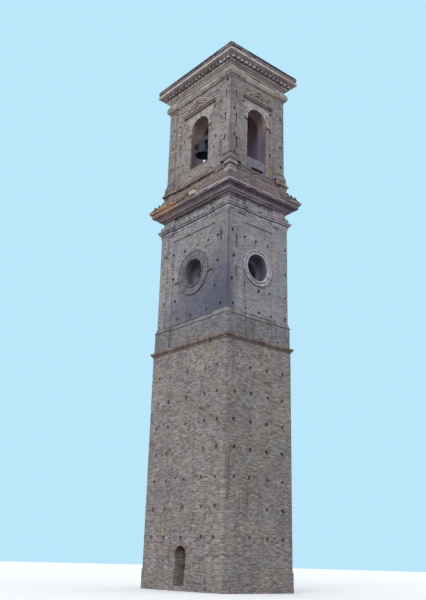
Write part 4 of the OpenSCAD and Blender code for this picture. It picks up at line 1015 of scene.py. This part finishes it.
top_bricks.place("top_architrave_bricks", top_brick, replaced=("top_architrave",))
bedded("top_frieze", 0.025, belfry_room, top_mortar)
bed_bricks = Course(58, plain_runs, top_frieze_z)
bed_bricks.lay([(0.13, 0.216), (0.13, 0.324)], brick_long, broken=0.05, loss=0.04)
bed_bricks.lay(ovolo(0.15, 0.324, 0.27, 0.486) + [(0.29, 0.486), (0.29, 0.54)], nose_row)
for k in range(3):
    bed_bricks.lay([(0.06, 0.072 * k), (0.06, 0.072 * (k + 1) - 0.008)], brick_long, broken=0.0)
bed_bricks.place("top_frieze_bricks", top_brick, replaced=("top_frieze",))
# Painted shade: the band behind the dentils is near black, as the shade between them.
dress(shaped_brick("shaded_band_brick", [(0.0, 0.150, 0.108, 0.100), (1.0, 0.200, 0.150, 0.135)], stains_and_shades=[
    ((0.27, 0.20, 0.16), 0.75, (-4.0, -3.0, 37.5), (-2.9, 4.5, 37.9), 0.6)]), "dentil_course")
dentils = Blocks(59)
dentil_w, dentil_pitch, dentil_out, dentil_band, dentil_h = 0.20, 0.42, 0.45, 0.29, 0.25
for side, half, face, ends in around(belfry_half, (dentil_out,), (dentil_band,)):
    count = int((2 * half + 2 * ends - dentil_w) / dentil_pitch)
    for k in range(count + 1):
        x = (k - count / 2) * dentil_pitch
        if side == "front":
            tone = 1.0 if x < -0.7 else 0.8 if x > 1.4 else 0.5
        else:
            tone = 0.95 if side == "left" and x > half - 0.9 else 0.40
        tone += dentils.wobble(0.12)
        dentils.side_box(side, (x, -face - (dentil_band + dentil_out) / 2 - 0.004 + dentils.wobble(0.008),
                                dentil_z + dentil_h / 2),
                         (dentil_w / 2 + 0.005, (dentil_out - dentil_band) / 2 + 0.006, dentil_h / 2 - 0.004), tone)
dentil_tints = [(0.0, 0.16, 0.12, 0.10), (0.35, 0.28, 0.22, 0.185), (0.6, 0.50, 0.50, 0.52), (1.0, 0.78, 0.78, 0.80)]
dentils.place("dentil_faces", shaped_brick("dentil_brick", dentil_tints, soot_and_shade=0.3))


# Corona of the top cornice. Moulded blocks laid with thin joints, faced with a skim of pinkish
# mortar that has worn off along the lower edge.
corona_tints = [(0.0, 0.26, 0.22, 0.215), (0.4, 0.36, 0.32, 0.31), (0.75, 0.42, 0.375, 0.365), (1.0, 0.48, 0.44, 0.435)]
# The two dark bluish bands along the top are painted shade under the tile ends.
corona_brick = shaped_brick("corona_brick", corona_tints, soot_and_shade=0.0, stains_and_shades=[
    ((0.72, 0.60, 0.53), 0.70, (-5.0, -5.0, 37.8), (5.0, 5.0, 38.02), 0.04),
    ((0.105, 0.118, 0.142), 0.60, (-5.0, -5.0, 38.12), (-3.3, 5.0, 38.5), 0.04),
    ((0.180, 0.195, 0.220), 0.45, (-3.5, -5.0, 38.14), (5.0, -4.0, 38.5), 0.04),
    ((0.36, 0.24, 0.18), 0.6, (1.6, -5.0, 37.8), (4.0, -4.0, 38.4), 0.4),
    ((0.30, 0.15, 0.12), 0.6, (-3.8, -4.8, 38.02), (-3.3, -4.3, 38.4), 0.06)])
bedded("top_cornice", 0.04, belfry_room, top_mortar)
corona_blocks = Course(60, plain_runs, corona_z)
corona_blocks.lay([(0.47, 0.0), (0.47, 0.036)], brick_long, broken=0.0)
corona_blocks.lay([(0.775, 0.054), (0.775, 0.225)], brick_long, broken=0.06, loss=0.05)
corona_blocks.lay(cavetto(0.69, 0.225, 0.74, 0.36) + [(0.74, 0.45)], brick_long, broken=0.10)
corona_blocks.place("top_cornice_blocks", corona_brick, "brick", replaced=("top_cornice",))


# Roof. A low hipped deck under barrel tiles, channels below and covers above, bedded in rows up each
# slope, with larger tiles over the hips and the ridge. The eave course survives only in lengths.
deck_half, deck_top_z, roof_slope = (3.49, 4.49), 38.46, 0.27
level_share = math.cos(math.atan(roof_slope))
apex_z = deck_top_z + roof_slope * deck_half[0]
tile_pitch, row_pitch, tile_long, hip_pitch, ridge_pitch = 0.215, 0.33, 0.39, 0.36, 0.34
channels, covers = (0.0, 0.072, 0.080, 0.070), (0.5, 0.006, 0.078, 0.066)


def board_finish(name, dark, light, across, pitch):
    """Finish for old boards: grain along each board, gaps between them, greyed by the weather."""
    f = Finish(name)
    x, y, z = f.axes(f.where)
    lane = (x * across[0] + y * across[1] + z * across[2]) / pitch
    board = lane.floored()
    gap = 1 - f.step((lane - board).lesser(1 - (lane - board)), 0.02, 0.06)
    tone = f.node("TexWhiteNoise", {"noise_dimensions": "1D"}, {"W": board})
    grain = f.noise(1.0, 5.0, 0.6, tuple(2.5 + 38.0 * abs(a) for a in across))
    colour = f.blend(dark, light, 0.25 + 0.35 * tone + 0.5 * (grain - 0.3))
    colour = f.blend(colour, tuple(0.25 * c for c in dark), gap)
    return f.surface(colour, grain - gap, 0.006, 0.8)


dress(board_finish("deck_boards", (0.035, 0.033, 0.040), (0.080, 0.075, 0.080), (0.0, 1.0, 0.0), 0.18), "roof_deck")
# The roof clay is darker and bluer than the tiles below: painted shade for the tile ends seen from below.
roof_clay = shaped_brick("roof_clay", toned(tile_tints, 0.55, 0.6, 0.75), 0.004)
roof_tiles = Blocks(61)
length = deck_half[0] / level_share
rows = round(length / row_pitch)
for side, half, run in around(deck_half):
    along, inward, _ = side_axes(side)
    uphill = (inward + upright * roof_slope).normalized()
    normal = (upright - inward * roof_slope).normalized()
    count = round(2 * half / tile_pitch)
    for i in range(count):
        for shift, lift, foot_r, head_r in (channels, covers):
            x = -half + 2 * half * (i + 0.5 + shift) / count
            for row in range(rows):
                t = -0.02 + row * (length / rows)
                flat = t * level_share
                if abs(x) > half - flat - 0.03 or flat + 0.28 > deck_half[0] + 0.05:
                    continue
                foot = (on_side(side, (x + roof_tiles.wobble(0.008), -run, deck_top_z))
                        + uphill * (t + roof_tiles.wobble(0.012)) + normal * lift)
                clay_tile(roof_tiles, foot, uphill, along, normal, tile_long, foot_r, head_r, not shift, 4)
    roof_tiles.box(on_side(side, (0, -run, deck_top_z)) + uphill * 0.05 + normal * 0.036,
                   (half - 0.05, 0.05, 0.036), (along, uphill, normal), 0.0)
ridge_half = deck_half[1] - deck_half[0]
for sx in (-1, 1):
    for sy in (-1, 1):
        low = Vector((sx * (deck_half[0] - 0.06), sy * (deck_half[1] - 0.06), deck_top_z + 0.02))
        rise = Vector((0, sy * ridge_half, apex_z)) - low
        uphill = rise.normalized()
        along = uphill.cross(upright).normalized()
        normal = along.cross(uphill)
        count = round(rise.length / hip_pitch)
        for k in range(count):
            foot = low + rise * (k / count) + normal * (0.012 if k < count - 1 else 0.0)
            clay_tile(roof_tiles, foot, uphill, along, normal, 0.40, 0.105, 0.088)
for k in range(round(2 * ridge_half / ridge_pitch)):
    clay_tile(roof_tiles, Vector((0, ridge_pitch * k - ridge_half, apex_z - 0.008)), Vector((0, 1, 0)),
              Vector((1, 0, 0)), upright, 0.38, 0.108, 0.096)
roof_tiles.place("roof_clay_tiles", roof_clay, "tiles", replaced=("roof_tiles",))

eave_bricks, eave_long, eave_half = Blocks(62), 0.27, (0.115, 0.085)
eave_lengths = {"front": [(-3.49, -1.75), (3.2, 3.49)], "left": [(3.05, 4.49), (-4.49, -2.8)],
                "back": [(-3.49, -0.4), (0.6, 3.49)], "right": [(-4.49, -1.6), (-0.6, 4.49)]}
for side, _, face in around(deck_half):
    for low, high in eave_lengths[side]:
        count = round((high - low) / eave_long)
        for k in range(count):
            eave_bricks.side_box(side, (low + (high - low) * (k + 0.5) / count,
                                        0.09 - face + eave_bricks.wobble(0.012),
                                        eave_z + eave_half[1] + eave_bricks.wobble(0.008)),
                                 ((high - low) / count / 2 - half_joint, *eave_half))
eave_bricks.box((-3.43, 2.2, eave_z + 0.12), (0.10, 0.16, 0.11), ((0.95, 0.3, 0), (-0.3, 0.95, 0), upright))
eave_bricks.place("eave_course", rough_brick, "tiles")


# Bearings. Forged iron blocks let into the jambs of the left arch, rusty where they're damp, each
# held by four bolts.
def metal_finish(name, base, spots, metallic, rough, scale=7.0):
    """Finish for weathered metal: the metal's colour under spots of rust or patina."""
    f = Finish(name)
    spotted = f.step(f.noise(scale, 6.0, 0.65), 0.46, 0.60)
    streak = f.step(f.noise(1.0, 4.0, stretch=(7.0, 7.0, 0.9)), 0.50, 0.66)
    cover = spotted.greater(streak * 0.8)
    fine = f.noise(60.0)
    colour = f.times(f.blend(base, spots, cover), 0.75 + 0.5 * fine)
    return f.surface(colour, cover + 0.4 * fine, 0.0015, rough + 0.3 * cover,
                     Metallic=metallic - metallic * 0.85 * cover)


def turned(blocks, outline, centre, sides, axis=2):
    """A solid turned from a closed outline of (radius, height) points round a line along an axis."""
    first, count = len(blocks.points), len(outline)
    for k in range(sides):
        a = 2 * math.pi * k / sides
        for r, height in outline:
            point = [r * math.cos(a), r * math.sin(a)]
            point.insert(axis, height)
            blocks.points.append(Vector(centre) + Vector(point))
        here, there = first + k * count, first + (k + 1) % sides * count
        for i in range(count):
            j = (i + 1) % count
            blocks.faces.append((here + i, here + j, there + j, there + i))
            blocks.tones.append(0.5)


iron = metal_finish("iron", (0.10, 0.10, 0.105), (0.115, 0.060, 0.036), 0.9, 0.45)
dress(iron, "bell_bearings")
bell_x, bell_axis_z = -2.19, 32.45
bearing_bolts, bolt_y, bolt_off = Blocks(63), side_arch_r - 0.158, 0.085
bolt = [(0.002, -0.012), (0.020, -0.012), (0.020, 0.002), (0.013, 0.012), (0.002, 0.012)]
for side in (-1, 1):
    for sx in (-1, 1):
        for sz in (-1, 1):
            turned(bearing_bolts, bolt, (bell_x + sx * bolt_off, side * bolt_y, bell_axis_z + sz * bolt_off), 6, 1)
bearing_bolts.place("bearing_bolts", iron, "iron")


# Headstock. An oak beam with chamfered edges, bound near its ends by two iron straps with nuts down
# their sides. Two pairs of flat bars carry the bell, and a gudgeon at each end turns in the bearings.
stock_x, stock_y, stock_tall, chamfer = 0.15, 0.69, 0.21, 0.022
stock_low, stock_high, stock_middle = bell_axis_z - 0.12, bell_axis_z + 0.30, bell_axis_z + 0.09
beam = Blocks(64)
beam_edge = [(sx * (stock_x - cut_x), sz * (stock_tall - cut_z)) for sx, sz, cut_x, cut_z in (
    (-1, -1, chamfer, 0), (1, -1, chamfer, 0), (1, -1, 0, chamfer), (1, 1, 0, chamfer),
    (1, 1, chamfer, 0), (-1, 1, chamfer, 0), (-1, 1, 0, chamfer), (-1, -1, 0, chamfer))]
beam_ends = ((-stock_y, 0.90), (0.02 - stock_y, 1.0), (0.0, 1.0), (stock_y - 0.02, 1.0), (stock_y, 0.90))
beam.loft([[Vector((bell_x + x * share, y, stock_middle + z * share)) for x, z in beam_edge]
           for y, share in beam_ends])
beam.place("headstock_beam", board_finish("oak", (0.016, 0.013, 0.013), (0.060, 0.047, 0.040), (1.0, 0.0, 0.0), 0.31),
           "timber", "bell_swing", ("bell_headstock",))
straps, strap_y, bar_y, nut_x = Blocks(65), 0.497, 0.16, 0.168
strap_out, strap_in, strap_top, strap_under = 0.164, 0.148, stock_high + 0.014, stock_high - 0.002
strap = [(-strap_out, stock_low), (-strap_out, strap_top), (strap_out, strap_top), (strap_out, stock_low),
         (strap_in, stock_low), (strap_in, strap_under), (-strap_in, strap_under), (-strap_in, stock_low)]
nut = [(0.002, -0.008), (0.022, -0.008), (0.022, 0.004), (0.012, 0.010), (0.002, 0.010)]
gudgeon = [(0.002, -1.04), (0.031, -1.04), (0.035, -1.034), (0.035, 1.034), (0.031, 1.04), (0.002, 1.04)]
bar = ((0, -0.03), (0.014, -0.03), (0.014, 0.03), (0, 0.03))
for y in (-strap_y, strap_y):
    straps.loft([[Vector((bell_x + x, y + s, z)) for x, z in strap] for s in (-0.045, 0.045)])
    for x in (-nut_x, nut_x):
        for z in (stock_low + 0.06, stock_high - 0.07):
            turned(straps, nut, (bell_x + x, y, z), 6, 0)
for y in (-bar_y, bar_y):
    for x in (-strap_out, stock_x):
        straps.loft([[Vector((bell_x + x + a, y + b, z)) for a, b in bar]
                     for z in (stock_low - 0.19, stock_high - 0.05)])
turned(straps, gudgeon, (bell_x, 0, bell_axis_z), 32, 1)
straps.place("headstock_iron", iron, "iron", "bell_swing", ("bell_headstock",))


# Bell. Cast bronze, near black with bluish patches: dark patina and painted shade from the dark
# inside of the belfry. It has raised bands at the sound bow, the waist and the shoulder. An iron
# clapper hangs from a pin between two cheeks inside it.
bell_r, bell_h, bell_foot_z = 0.64, 0.92, 31.21
bronze = metal_finish("bronze", (0.045, 0.042, 0.046), (0.030, 0.039, 0.060), 0.4, 0.55, 5.0)
dress(bronze, "bell")
dress(iron, "bell_clapper")


def bell_outer(share):
    return bell_r * (0.56 + 0.44 * (1 - share) ** 2.6 - 0.02 * math.sin(math.pi * share))


bands = Blocks(66)
band_sizes = ((0.035, 0.030, 0.010), (0.15, 0.014, 0.008), (0.18, 0.014, 0.008), (0.26, 0.010, 0.006),
              (0.56, 0.012, 0.006), (0.60, 0.012, 0.006), (0.80, 0.012, 0.007), (0.88, 0.018, 0.009),
              (0.925, 0.010, 0.006))
for share, tall, stand in band_sizes:
    low, high = share - tall / 2 / bell_h, share + tall / 2 / bell_h
    rim = bell_outer(share) + stand
    turned(bands, [(r, at * bell_h) for r, at in (
        (bell_outer(low) - 0.01, low), (bell_outer(low), low), (rim, low + 0.3 * (high - low)),
        (rim, low + 0.7 * (high - low)), (bell_outer(high), high), (bell_outer(high) - 0.01, high))],
        (bell_x, 0, bell_foot_z), 72)
bands.place("bell_bands", bronze, "bronze", "bell_swing")
